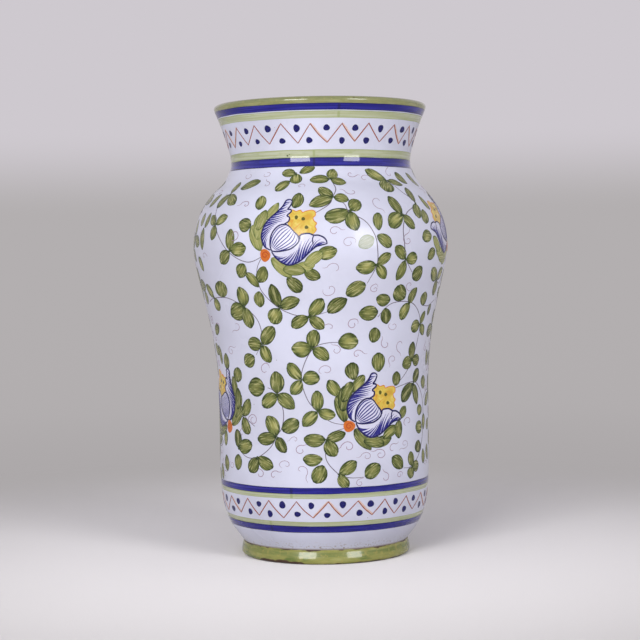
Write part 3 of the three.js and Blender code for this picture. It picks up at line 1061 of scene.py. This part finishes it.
# The vine. A sprig is a node, in degrees from the front and mm of height, and the leaves that start from it.
# A leaf is its direction in degrees, then its length and width in mm
vine = {
    "sprigs": [
        (-14.8, 419.5, (178, 15.5, 9.5), (-80, 14, 12)), (-13.2, 419.4, (21, 18, 8.5)),
        (-24, 400, (50, 20, 12.5)), (-47.8, 404.5, (24, 26, 12)),
        (4.6, 412.5, (183, 21, 11), (68, 13, 11.5), (-20, 17, 10.5)),
        (5.2, 393, (138, 19.5, 12), (-157, 26.5, 13.5), (-14, 16.5, 11)),
        (12.5, 378.2, (-164, 28, 15.5), (45, 16.5, 14), (-77, 22, 14.5)), (24.9, 356.6, (84, 20, 11)),
        (23.7, 352.8, (-35, 21, 12)), (24, 321.5, (36, 19.5, 10.5), (-172, 23.5, 14), (-52, 19, 11)),
        (19.6, 302, (-151, 24.5, 15)), (39.4, 411, (151, 28, 12), (-120, 19, 16.5), (-16, 21, 9)),
        (48.9, 421.3, (-50, 20, 10)), (61.5, 421.5, (-50, 24, 8.5)), (57.5, 396, (-58, 21, 7.5)),
        (55, 381, (-95, 17, 13)), (51, 387, (92, 21, 11), (-100, 18, 13)),
        (39, 374.5, (119, 24.5, 13), (-146, 24, 16), (-48, 21, 11)),
        (39, 326.5, (136, 20, 12), (6, 17.5, 13), (-113, 24, 11.5)), (45, 305, (45, 19, 15.5)),
        (49.4, 349, (8, 20, 13)), (54, 327, (30, 18, 12)), (-2.6, 331.7, (16, 21.5, 13.5)),
        (-8.6, 317.5, (-27, 19.5, 12)), (-16.4, 309.6, (-45, 21.5, 13.5)), (-12.8, 381, (78, 20, 13)),
        (-29.6, 380, (94, 18, 12.5)), (-32.2, 363.5, (165, 17, 14.5)),
        (-43.8, 338.3, (89, 23, 12.5), (8, 22.5, 14.5), (-142, 21, 13.5)),
        (-55, 366.8, (140, 15.5, 10.5), (25, 20.5, 10.5), (-103, 17, 11.5)),
        (-52.6, 399.4, (88, 17.5, 8.5), (-125, 21, 10), (-42, 21, 12)), (-68, 386, (50, 22, 9)),
        (-65, 363, (68, 19, 8)), (-70, 365, (82, 16, 10)), (-66, 365, (-88, 25, 11)),
        (-72, 333, (-58, 19, 10)), (-36.2, 325, (-122, 18, 13.5)), (-30, 299, (131, 21.5, 10)),
        (-30.3, 304, (60, 20, 12.5)), (-30.5, 296, (-93, 18, 12.5)),
        (-21, 277.5, (104, 26.5, 12.5), (22, 24, 13), (-122, 19.5, 16)),
        (-7, 268, (53, 24, 13.5), (-150, 22, 12.5), (-40, 20, 12)), (1.5, 271.5, (36, 25.5, 14)),
        (-62.6, 288, (138, 21, 10.5), (-64, 15.5, 13)), (-54, 287.5, (92, 19, 21)),
        (-40, 278.5, (98, 22, 15), (-158, 25, 19), (-80, 23.5, 15)), (42.3, 284.6, (140, 20, 17)),
        (45.2, 278.8, (62, 20, 10.5)), (46, 280.8, (-120, 21.5, 13)), (33.5, 283.6, (172, 18.5, 13)),
        (27.4, 271.5, (-177, 23, 15.5)), (30.6, 276.3, (-76, 18.5, 13)), (58, 275.5, (94, 16, 13.5)),
        (65.5, 264.5, (72, 14, 8)), (57.8, 256, (-167, 17, 13.5), (-42, 17, 10), (62, 16, 8.5)),
        (26, 256, (-94, 17, 13.5)), (-32.6, 238, (51, 25, 14.5), (176, 18.5, 14.5), (-66, 20.5, 13)),
        (-38, 225.7, (-150, 18, 15)), (-6, 234.3, (80, 20, 13.5), (180, 22, 16.5), (-35, 21, 13)),
        (6.6, 240.3, (0, 22.5, 17)), (-11.8, 200.8, (128, 22.5, 12.5), (7, 19, 14.5), (-128, 19, 12.5)),
        (-3.8, 167.2, (91, 22, 12.5), (-13, 19, 11.5), (-136, 22, 13)),
        (0.4, 137.2, (178, 23.5, 13.5), (18, 21.5, 11), (-60, 20, 14)), (-1.2, 116.8, (180, 21.5, 12.5)),
        (-1, 110.8, (-117, 21.5, 15.5)), (6.6, 100, (34, 23.5, 13), (-52, 17, 11)),
        (20.8, 95.2, (35, 22, 15)), (8.4, 182.5, (127, 22, 12.5)), (15.3, 199, (96, 19.5, 14.5)),
        (29.5, 206.5, (94, 21.5, 15.5)), (40.6, 190.6, (84, 16, 11.5)),
        (43, 155.2, (52, 16.5, 9.5), (-93, 20.5, 11.5)),
        (-25.5, 185.6, (92, 24, 16), (-143, 22.5, 14.5), (-38, 24.5, 14.5)),
        (-32.4, 191.7, (180, 23.5, 19.5)), (-23.2, 146.3, (30, 22, 15)),
        (-26, 139.8, (117, 24.5, 15), (-172, 24.5, 13.5), (-58, 19, 11.5)),
        (-38.4, 117, (-125, 20, 14.5), (-26, 22.5, 13.5)), (-53, 124.5, (98, 20.5, 12.5), (16, 23, 15)),
        (-53.2, 119, (-97, 18, 13)), (-48.8, 159.6, (61, 22, 12.5), (-62, 20.5, 12.5)),
        (-53, 195.5, (80, 17, 14.5)), (-62.7, 208, (88, 19, 12.5)), (-71.5, 236, (-78, 22, 9)),
        (-68, 124, (85, 18, 10)), (-67.5, 116, (-80, 18.5, 12)),
        (53.4, 217.5, (92, 20, 11.5), (-163, 17, 13.5), (3, 15, 12.5)),
        (55.4, 192.5, (-138, 28, 14), (56, 18, 11.5), (-73, 24.5, 11)), (68, 183.6, (95, 15.5, 13)),
        (62.5, 169, (-100, 12.5, 11.5)), (68, 158, (-95, 18, 9)), (65.4, 143.6, (178, 16, 13.5)),
        (60.5, 130.3, (-100, 14, 14)), (53.6, 102, (101, 16.5, 11), (-107, 13, 12.5), (2, 13.5, 12)),
        (45.7, 101.8, (141, 21, 14)), (67, 101.5, (94, 17, 9.5)), (72, 228, (-85, 18, 9)),
    ],
    # leaves so thinly washed that the white shows through, and paler still from a painted reflection:
    # degrees and height of the start, then as above
    "thinLeavesWithPaintedReflection": [(22.4, 350, -152, 20, 14.5)],
    # stems: places they pass through, in degrees and mm of height
    "stems": [
        [(-25, 334), (-34, 326), (-44, 336), (-52, 356), (-55, 368), (-58, 385), (-56, 400)],
        [(-27, 331), (-30, 318), (-30, 301), (-27, 289), (-21, 277), (-14, 270), (-7, 268), (2, 273)],
        [(-70, 283), (-64, 287), (-51, 288), (-41, 279), (-34, 266), (-32, 250), (-33, 239), (-37, 227)],
        [(5, 412), (7, 402), (5, 393), (3, 385), (-4, 375)],
        [(5, 393), (10, 386), (12, 377), (19, 367), (23, 352), (24, 338), (24, 321), (20, 302)],
        [(40, 412), (45, 399), (51, 387), (42, 376), (38, 360), (38, 344), (39, 328), (44, 313)],
        [(27, 266), (34, 280), (46, 281), (54, 271), (58, 256), (57, 236), (53, 216), (46, 200), (38, 189)],
        [(72, 282), (64, 276), (57, 277)],
        [(10, 240), (2, 240), (-5, 235), (-10, 219), (-12, 201), (-9, 180), (-4, 168), (3, 156), (12, 152)],
        [(12, 150), (4, 145), (1, 139), (0, 125), (1, 113), (7, 100), (13, 96), (20, 96)],
        [
            (-31, 192), (-25, 186), (-22, 166), (-23, 150), (-26, 141), (-30, 128), (-38, 117), (-46, 116),
            (-53, 124),
        ],
        [(40, 189), (56, 194), (64, 182), (67, 166), (67, 148), (65, 128), (60, 112), (52, 102), (46, 102)],
        [(-40, 150), (-49, 163), (-53, 178), (-55, 195), (-62, 200), (-65, 209)],
    ],
    # curls: degrees, height, size in mm, direction of the tail, and the way it winds
    "curls": [
        (15, 399, 13, 200, 1), (-38, 387, 12, 150, -1), (-33, 420, 9, 250, 1), (-31, 408, 9, 80, -1),
        (-47, 419, 10, 240, 1), (27, 388, 16, 260, -1), (5, 357, 12, 40, 1), (11, 345, 14, 60, 1),
        (40, 347, 15, 100, 1), (5, 318, 14, 150, -1), (3, 297, 15, 250, 1), (-41, 355, 12, 260, 1),
        (-64, 333, 10, 30, 1), (14, 259, 12, 70, 1), (3, 256, 10, 130, -1), (-11, 405, 8, 60, 1),
        (44, 299, 13, 250, -1), (37, 256, 12, 200, 1), (-67, 255, 12, 60, 1), (-48, 258, 13, 250, 1),
        (24, 296, 12, 100, 1), (17, 418, 11, 320, -1), (25, 413, 14, 30, 1), (44, 419, 12, 110, 1),
        (-32, 211, 14, 90, 1), (6, 232, 11, 100, -1), (1, 211, 14, 170, -1), (17, 227, 12, 30, 1),
        (33, 237, 12, 150, 1), (38, 220, 11, 220, -1), (-41, 157, 12, 150, -1), (-16, 137, 9, 160, -1),
        (-21, 110, 14, 160, -1), (-13, 126, 12, 80, 1), (-28, 98, 12, 60, 1), (-37, 99, 12, 80, -1),
        (-13, 105, 15, 330, 1), (12, 129, 14, 160, -1), (22, 118, 12, 150, -1), (30, 119, 15, 120, -1),
        (38, 124, 11, 70, 1), (47, 128, 13, 250, 1), (33, 94, 11, 80, -1), (43, 95, 9, 60, 1),
        (50, 152, 12, 170, -1), (43, 235, 14, 250, -1), (18, 90, 9, 80, 1), (-56, 230, 12, 60, 1),
        (-70, 372, 11, 80, 1), (-66, 402, 9, 120, -1), (-74, 262, 11, 80, 1), (-60, 106, 10, 200, 1),
        (-70, 93, 10, 60, 1), (-50, 141, 9, 120, 1), (70, 400, 10, 100, -1),
    ],
    # blots of copper green where a full brush touched the band: degrees, height, size in mm
    "blots": [(-21, 438.6, 0.9), (-19.8, 440.0, 0.45), (148, 439.5, 0.8)],
    "stemWidth": 0.85,
    "curlWidth": 0.7,
    "stemSpacing": 2.0,  # mm between the steps of a stroke
    "curlSpacing": 2.6,
    "curlSwell": 1.3,  # how much larger the curls are drawn than listed
    "fullness": 1.08,  # the same for the width of the leaves
    "leafGap": 0.6,  # mm from the node to its leaves
    "leafStack": 0.03,  # mm that each leaf of a sprig lies over the one before
    "leafRoom": 0.35,  # share of a leaf's length, and of a curl's size, that the fillers keep off
    "curlRoom": 0.2,
    "fillerRoom": 3,  # mm that is kept free round a curl of the filling
    # what fills the sides: room in mm that it needs, number of tries, and between which heights
    "fillers": [("sprig", 20, 900, (100, 412)), ("leaf", 11, 900, (94, 419)), ("curl", 6, 500, (94, 419))],
}

# Tulips, each drawn from its knot
tulips = {
    "places": [
        # degrees, height, direction of the axis, size, whether it is drawn the other way round, the paint of
        # its calyx, and how full the brush was
        (-25.3, 333, 40, 1.04, False, "calyxLobes", 1), (83, 341, 133, 1.0, True, "calyxLobes", 1),
        (12.5, 151, 34, 1.0, False, "vineLeaves", 1.15), (-62, 147, 118, 1.0, True, "vineLeaves", 1.15),
    ],
    # outlines in mm: along the axis from the knot, and to its left
    "leftOuter": [
        (8, 0), (5.5, 6), (7, 13), (11, 19), (19, 24), (28, 26), (38, 26.5), (46, 28), (52, 31), (56, 29),
        (56.5, 25.5),
    ],
    "leftInner": [
        (8.5, -1), (12, 4), (19, 9), (27, 11), (34, 11), (41, 10), (44, 13), (43, 16), (49, 16.5), (50, 19),
        (47.5, 21), (52, 22.5), (56.5, 25.5),
    ],
    "centreLeft": [(8.5, -1.5), (11, 4), (17, 10), (24, 13), (31, 13), (36, 10), (38, 6), (38.3, 1.5)],
    "centreRight": [
        (8.5, -1.5), (12, -5.5), (18, -9.5), (25, -13), (33, -13.5), (37, -12), (39, -8), (38.6, -3),
        (38.3, 1.5),
    ],
    "rightOuter": [
        (8, -2), (7, -9), (8.5, -17), (12, -23.5), (18, -27), (26, -28.5), (36, -28), (45, -28), (51, -30.5),
        (56, -33),
    ],
    "rightInner": [
        (8.5, -2.5), (14, -7), (22, -12), (31, -14), (38, -12), (41, -9), (45, -10.5), (49, -13.5),
        (51.5, -18), (55, -21), (57.5, -26), (57.5, -30), (56, -33),
    ],
    "rightFold": [(51.5, -18), (48, -20), (45, -24.5)],
    "crownBase": [(42, 12), (38.5, 8), (38, 2), (39, -4), (40, -9), (47, -12.5)],
    "crownTop": [
        (46, 16), (51, 17.5), (53, 13.5), (57.5, 11.5), (57.5, 8), (61.5, 6.5), (67, 3), (68, -0.5),
        (65.5, -3.5), (62.5, -3.5), (61, -7), (61.5, -10.5), (58, -12), (57, -15.5), (52, -16.5), (50, -14.5),
    ],
    "crownDots": [(49.5, 8), (54, 2), (51, -7)],
    # calyx lobes: centre, direction, length and width
    "lobes": [
        ((3.5, 20), 72, 30, 15), ((12, 27.5), 50, 28, 14), ((19, 31), 30, 24, 12), ((33, 31.5), 15, 24, 11),
        ((4.5, -20.8), -85, 30, 13), ((13, -31.5), -45, 26, 13), ((22, -35.5), -24, 26, 12),
        ((36, -35.5), -4, 24, 12),
    ],
    # hatching of the side petals: how many strokes, the share of the outer line where they start and stop,
    # the share of the petal that they reach over, and how far they lean to the tip
    "leftHatching": (15, 0.04, 0.85, 0.76, 0.14),
    "rightHatching": (14, 0.05, 0.88, 0.76, 0.13),
    "hatchWidth": 1.75,  # at the outer line, from where each stroke thins out
    "centreSteps": 24,
    "centreTile": (0, 0.62, 1, 0.38),  # the white end of the UV
    "veins": 8,
    "veinWidth": 1.1,
    "lines": ["leftOuter", "leftInner", "rightOuter", "rightInner", "rightFold", "centreLeft", "centreRight"],
    "outlineWidth": 1.55,
    "crownLineWidth": 0.9,
    "crownDotRadius": 2.0,
    "knotRadius": 6.3,
    "swirlRadius": 4.2,
    "swirlWidth": 1.2,
    "lineSpacing": 1.3,  # mm between the steps of a stroke
    "hatchSpacing": 2.2,
    "swirlSpacing": 1.5,
    "lobeStack": 0.025,  # mm that each lobe lies over the one before
    "flowerMiddle": (30, 0),
    "flowerRoom": 34,  # mm round the flower, and round its knot, that the fillers keep off
    "knotRoom": 8,
}
taken = []  # places already painted: angle and way of each leaf and flower, and the room it needs


def take(home, over, up, room):
    taken.append((home[0] + over / home[2], home[1] + up, room))


def roomAt(home):
    # mm to the nearest painting, less the room that it needs
    best = 999
    for angle, way, room in taken:
        apart = (home[0] - angle + math.pi) % (2 * math.pi) - math.pi
        best = min(best, math.hypot(apart * home[2], home[1] - way) - room)
    return best


def polar(reach, angle):
    return reach * math.cos(angle), reach * math.sin(angle)


def paintSprig(home, leaves, rng):
    for number, (direction, length, width) in enumerate(leaves):
        turned = math.radians(direction)
        centre = polar(length / 2 + vine["leafGap"], turned)
        lift = lifts["leaf"] + vine["leafStack"] * (number % 3)
        paintLeaf(paints["vineLeaves"], home, centre, turned, length, width * vine["fullness"], lift, rng)
        take(home, *centre, length * vine["leafRoom"])
    if len(leaves) > 1:
        paintDot(paints["leafNodes"], home, (0, 0), rng.uniform(0.9, 1.5), lifts["node"], rng)


def paintCurl(home, size, direction, winding, rng):
    # a tail that winds into itself: some close up to a spiral, some stay a hook
    points = []
    start = math.radians(direction)
    wound = math.radians(rng.uniform(210, 430))
    closing = rng.uniform(0.55, 0.95)
    squash = rng.uniform(0.75, 1.0)
    for step in range(9):
        t = step / 8
        over, up = polar(size * 0.42 * (1 - closing * t ** 0.8), start + winding * t * wound)
        points.append((over, up * squash))
    # the tail leaves along the winding, then swings out or back
    swing = rng.choice((0.5, 0.5, -0.7))
    away = start - winding * 1.5
    for bend in range(3):
        over, up = polar(size * rng.uniform(0.1, 0.2), away)
        points.insert(0, (points[0][0] + over, points[0][1] + up))
        away += winding * swing
    width = vine["curlWidth"] * rng.uniform(0.7, 1.15)
    lift, spacing = lifts["curl"], vine["curlSpacing"]
    paintStroke(paints["vineCurls"], home, points, width, lift, spacing, (0.3, 0.8), anyTile(rng))


def paintTulip(degrees, height, axis, size, mirrored, calyx, load, rng):
    home = homeAt(degrees, height)
    side = -1 if mirrored else 1
    c, s = polar(size, math.radians(axis))

    def turned(x, y):
        return x * c - side * y * s, x * s + side * y * c

    def lineOf(name):
        return [turned(x, y) for x, y in tulips[name]]

    def paintLoft(paint, lowLine, highLine, columns, rows, lift, tile=wholeTile):
        # a patch stretched between two outlines
        lows, highs = (smoothLine(lineOf(name), columns) for name in (lowLine, highLine))

        def place(x, y):
            i = round((x + 1) / 2 * columns)
            over, up = (mix(a, b, (y + 1) / 2) for a, b in zip(lows[i], highs[i]))
            return onPot(home, over, up, lift)

        paintPatch(paints[paint], columns, rows, place, tile)
        return lows, highs

    def hatch(lows, highs, number, first, last, reach, forward):
        # short strokes inward from the outer line, leaning towards the tip
        whole = len(lows) - 1
        for stroke in range(number):
            t = mix(first, last, (stroke + rng.uniform(0.35, 0.65)) / number)
            deep = reach * rng.uniform(0.85, 1.1) * (0.55 + 0.45 * math.sin(math.pi * t))
            points = []
            for share in (0.03, 0.35, 0.7, 1):
                i = min(whole, (t + forward * share ** 1.2) * whole)
                here = int(i)
                following = min(whole, here + 1)
                outer, inner = (
                    [mix(a, b, i - here) for a, b in zip(line[here], line[following])]
                    for line in (lows, highs)
                )
                points.append(tuple(mix(p, q, deep * share) for p, q in zip(outer, inner)))
            width = tulips["hatchWidth"] * load * rng.uniform(0.75, 1.15)
            strokes, lift, spacing = paints["petalHatching"], lifts["hatch"], tulips["hatchSpacing"]
            paintStroke(strokes, home, points, width, lift, spacing, (1, 0.12), anyTile(rng), 1.25)

    for number, (centre, direction, length, width) in enumerate(tulips["lobes"]):
        leaning = math.radians(axis + side * direction)
        lift = lifts["lobe"] + tulips["lobeStack"] * (number % 3)
        paintLeaf(paints[calyx], home, turned(*centre), leaning, length, width, lift, rng, 8, 4)
    # the crown stands behind the petals
    paintLoft("tulipCrowns", "crownBase", "crownTop", 44, 5, lifts["crown"])
    spacing = tulips["lineSpacing"]
    crownLine = lineOf("crownTop"), tulips["crownLineWidth"], lifts["crownLine"]
    paintStroke(paints["crownOutlines"], home, *crownLine, spacing)
    for spot in tulips["crownDots"]:
        paintDot(paints["crownDots"], home, turned(*spot), tulips["crownDotRadius"], lifts["crownDot"], rng)
    left = paintLoft("tulipPetals", "leftOuter", "leftInner", 32, 6, lifts["leftPetal"])
    right = paintLoft("tulipPetals", "rightOuter", "rightInner", 32, 6, lifts["rightPetal"])
    steps = tulips["centreSteps"]
    centre = paintLoft(
        "tulipPetals", "centreLeft", "centreRight", steps, 6, lifts["centrePetal"], tulips["centreTile"],
    )
    hatch(*left, *tulips["leftHatching"])
    hatch(*right, *tulips["rightHatching"])
    for vein in range(tulips["veins"]):
        share = (vein + 0.6) / (tulips["veins"] + 0.2)
        points = []
        for t in (0.12, 0.35, 0.6, 0.82 - 0.1 * abs(share - 0.4)):
            i = round(t * steps)
            points.append(tuple(mix(p, q, share) for p, q in zip(centre[0][i], centre[1][i])))
        width, tile = tulips["veinWidth"] * load, strokeTile(vein)
        strokes, lift, stepLength = paints["petalHatching"], lifts["vein"], tulips["hatchSpacing"]
        paintStroke(strokes, home, points, width, lift, stepLength, (0.4, 0.2), tile)
    for name in tulips["lines"]:
        line = lineOf(name)
        if "Inner" in name:  # its first points lie under the centre petal
            line = line[4:]
        width = tulips["outlineWidth"] * load * (0.75 if name == "rightFold" else 1)
        lift = lifts["centreLine" if "centre" in name else "petalLine"]
        paintStroke(paints["tulipOutlines"], home, line, width, lift, spacing, (0.8, 0.7))
    paintDot(paints["tulipKnots"], home, (0, 0), tulips["knotRadius"], lifts["knot"], rng)
    swirl = [polar(tulips["swirlRadius"] * (1 - t / 9), 1.1 * t) for t in range(9)]
    swirlLine = swirl, tulips["swirlWidth"], lifts["swirl"], tulips["swirlSpacing"]
    paintStroke(paints["knotSwirls"], home, *swirlLine)
    take(home, *turned(*tulips["flowerMiddle"]), tulips["flowerRoom"])
    take(home, 0, 0, tulips["knotRoom"])


def paintStem(home, points, ends, tile=wholeTile):
    width, spacing = vine["stemWidth"], vine["stemSpacing"]
    paintStroke(paints["vineStems"], home, points, width, lifts["stem"], spacing, ends, tile)


def paintHalf(shift, rng):
    for degrees, *rest in tulips["places"]:
        paintTulip(degrees + shift, *rest, rng)
    for degrees, height, *leaves in vine["sprigs"]:
        paintSprig(homeAt(degrees + shift, height), leaves, rng)
    # the thin leaf, pale from its wash and from a painted reflection
    for degrees, height, direction, length, width in vine["thinLeavesWithPaintedReflection"]:
        home, turned = homeAt(degrees + shift, height), math.radians(direction)
        centre = polar(length / 2, turned)
        paintLeaf(paints["thinLeavesWithPaintedReflection"], home, centre, turned, length, width, lifts["leaf"], rng)
        take(home, *centre, length * vine["leafRoom"])
    for stem in vine["stems"]:
        home = homeAt(stem[0][0] + shift, stem[0][1])
        points = [toward(home, homeAt(degrees + shift, height)) for degrees, height in stem]
        paintStem(home, points, (0.7, 0.6), anyTile(rng))
    for degrees, height, size, direction, winding in vine["curls"]:
        home = homeAt(degrees + shift, height)
        paintCurl(home, size * vine["curlSwell"], direction, winding, rng)
        take(home, 0, 0, size * vine["curlRoom"])


def fillSides(rng):
    # the sides, where the two halves meet, are filled the way the painter would
    for kind, room, tries, levels in vine["fillers"]:
        for attempt in range(tries):
            degrees = rng.choice((90, -90)) + rng.uniform(-22, 22)
            home = homeAt(degrees, rng.uniform(*levels))
            if roomAt(home) < room:
                continue
            direction = rng.uniform(0, 360)
            if kind == "sprig":
                paintSprig(home, [
                    (direction + k * 120, rng.uniform(18, 24), rng.uniform(11, 14)) for k in range(3)
                ], rng)
                # its stem may set off any way
                tail = [polar(reach, direction + bend) for reach, bend in ((0, 0), (14, 0), (26, 0.5))]
                paintStem(home, tail, (0.7, 0.4))
            elif kind == "leaf":
                paintSprig(home, [(direction, rng.uniform(15, 20), rng.uniform(10, 13))], rng)
            else:
                paintCurl(home, rng.uniform(8, 14), direction, rng.choice((1, -1)), rng)
                take(home, 0, 0, vine["fillerRoom"])


vineRandom = random.Random(21)
paintHalf(0, vineRandom)
paintHalf(180, vineRandom)  # the same growth again on the back, by the same hand
for degrees, height, size in vine["blots"]:
    paintDot(paints["leafNodes"], homeAt(degrees, height), (0, 0), size, lifts["blot"], vineRandom)
fillSides(vineRandom)
for name, (makePaint, *look) in paintKinds.items():
    addPiece(name, paints[name], makePaint(*look), "white_glaze")
print("vine and tulips painted")


# Studio: a pale floor that curves up into a warm grey backdrop all round, and two soft boxes with a fill
studio = {
    "floorLevel": -0.0002,  # m, a hair under the foot
    "floorRings": (0, 0.4, 1.0, 1.9),  # m, the last is where the cove starts
    "coveRadius": 0.7,
    "wallHeight": 2.6,
    "turns": 96,
    "floorColour": "#e1dedf",
    # the glow of the backdrop, a painted light: lighter high up, greyer low down and on the far floor
    "wallTop": "#cec9cf",
    "wallLow": "#b3afb0",
    "wallLevels": (0.44, 0.67),
    "farFloor": "#aba7a8",
    "greyFrom": (0.3, 2.6),  # m from the middle over which the far floor turns to the grey of the wall
    "glowFrom": (0.2, 0.9),  # m from the middle over which the paper starts to show its own grey
    "worldStrength": 0.6,
    "worldColour": "#e6e6ee",
    "lamps": [
        # name, turned from the front, height of its middle, width, height (m), watts
        ("softBoxLeft", -25, 0.68, 0.86, 0.76, 17.4),
        ("softBoxRight", 39, 0.68, 0.72, 0.76, 12.9),
        ("softBoxFill", -42, 0.85, 1.8, 1.2, 4.8),
    ],
    "lampDistance": 2.0,
    "lampAim": (0, 0, 0.3),
}


def makeStudioPaper():
    # matt paper: lit as a floor near the vase, and further off it glows with the painted light of the
    # backdrop
    material, add, place = startMaterial("studioPaper")
    axes = add("ShaderNodeSeparateXYZ", [place])
    flat = add("ShaderNodeVectorMath", [place, (1, 1, 0)], operation="MULTIPLY")
    far = add("ShaderNodeVectorMath", [flat], operation="LENGTH").outputs["Value"]
    grain = add("ShaderNodeTexNoise", {"Vector": place, "Scale": 400.0, "Detail": 2.0})
    paper = add("ShaderNodeBsdfDiffuse", {
        "Color": studio["floorColour"], "Roughness": 0.8,
        "Normal": add("ShaderNodeBump", {"Height": grain, "Distance": 0.0002}),
    })
    low = add("ShaderNodeMix", {
        0: add("ShaderNodeMapRange", [far, *studio["greyFrom"]]),
        6: studio["farFloor"], 7: studio["wallLow"],
    })
    wall = add("ShaderNodeMix", {
        0: add("ShaderNodeMapRange", [axes.outputs["Z"], *studio["wallLevels"]]),
        6: low, 7: studio["wallTop"],
    })
    glow = add("ShaderNodeEmission", {"Color": wall, "Strength": 1.0})
    # only what is looked at or mirrored glows, so the light on the vase stays that of plain paper
    rays = add("ShaderNodeLightPath").outputs
    seen = rays["Is Camera Ray"]
    for kind in ("Is Glossy Ray", "Is Transmission Ray"):
        seen = add("ShaderNodeMath", [seen, rays[kind]], operation="MAXIMUM")
    away = add("ShaderNodeMapRange", [far, *studio["glowFrom"]])
    share = add("ShaderNodeMath", [seen, away], operation="MULTIPLY")
    surface = add("ShaderNodeMixShader", [share, paper, glow])
    add("ShaderNodeOutputMaterial", {"Surface": surface})
    return material


def makeFloor():
    bm = bmesh.new()
    cove, level = studio["coveRadius"], studio["floorLevel"]
    outline = [(ring, level) for ring in studio["floorRings"]]
    edge = studio["floorRings"][-1]
    for step in range(1, 13):
        turn = math.pi / 2 * step / 12
        outline.append((edge + cove * math.sin(turn), cove * (1 - math.cos(turn))))
    outline.append((outline[-1][0], studio["wallHeight"]))
    spinLine(bm, outline, studio["turns"])
    bmesh.ops.remove_doubles(bm, verts=bm.verts, dist=0.0001)
    bmesh.ops.recalc_face_normals(bm, faces=bm.faces)
    bmesh.ops.reverse_faces(bm, faces=[face for face in bm.faces if face.normal.z < -0.5])
    for face in bm.faces:
        face.smooth = True
    addObject("studioFloor", bm, makeStudioPaper())


def makeLamps():
    aim = Vector(studio["lampAim"])
    for name, turned, height, width, tall, watts in studio["lamps"]:
        data = bpy.data.lights.new(name, "AREA")
        data.shape = "RECTANGLE"
        data.size = width
        data.size_y = tall
        data.energy = watts
        lamp = bpy.data.objects.new(name, data)
        scene.collection.objects.link(lamp)
        angle, away = math.radians(turned), studio["lampDistance"]
        lamp.location = (away * math.sin(angle), -away * math.cos(angle), height)
        lamp.rotation_euler = (aim - lamp.location).to_track_quat("-Z", "Y").to_euler()
        lamp.visible_camera = False
        lamp.visible_glossy = name != "softBoxFill"  # the fill is not mirrored in the glaze


def makeWorld():
    scene.world = bpy.data.worlds.new("studioWorld")
    scene.world.use_nodes = True
    back = scene.world.node_tree.nodes["Background"]
    back.inputs["Color"].default_value = linear(studio["worldColour"])
    back.inputs["Strength"].default_value = studio["worldStrength"]


makeFloor()
makeLamps()
makeWorld()
print("studio set")


# Camera: a long lens a little below the middle of the vase, looking slightly down
view = {"lens": 97.76, "distance": 1949, "height": 327, "aside": -3.0, "lookDown": 1.97, "roll": -0.8}


def makeCamera():
    data = bpy.data.cameras.new("camera")
    data.lens = view["lens"]
    data.sensor_width = 36
    data.clip_end = 50
    camera = bpy.data.objects.new("camera", data)
    scene.collection.objects.link(camera)
    camera.location = Vector((view["aside"], -view["distance"], view["height"])) * mm
    turned = Matrix.Rotation(math.radians(90 - view["lookDown"]), 3, "X")
    camera.rotation_euler = (turned @ Matrix.Rotation(math.radians(view["roll"]), 3, "Z")).to_euler()
    scene.camera = camera


makeCamera()
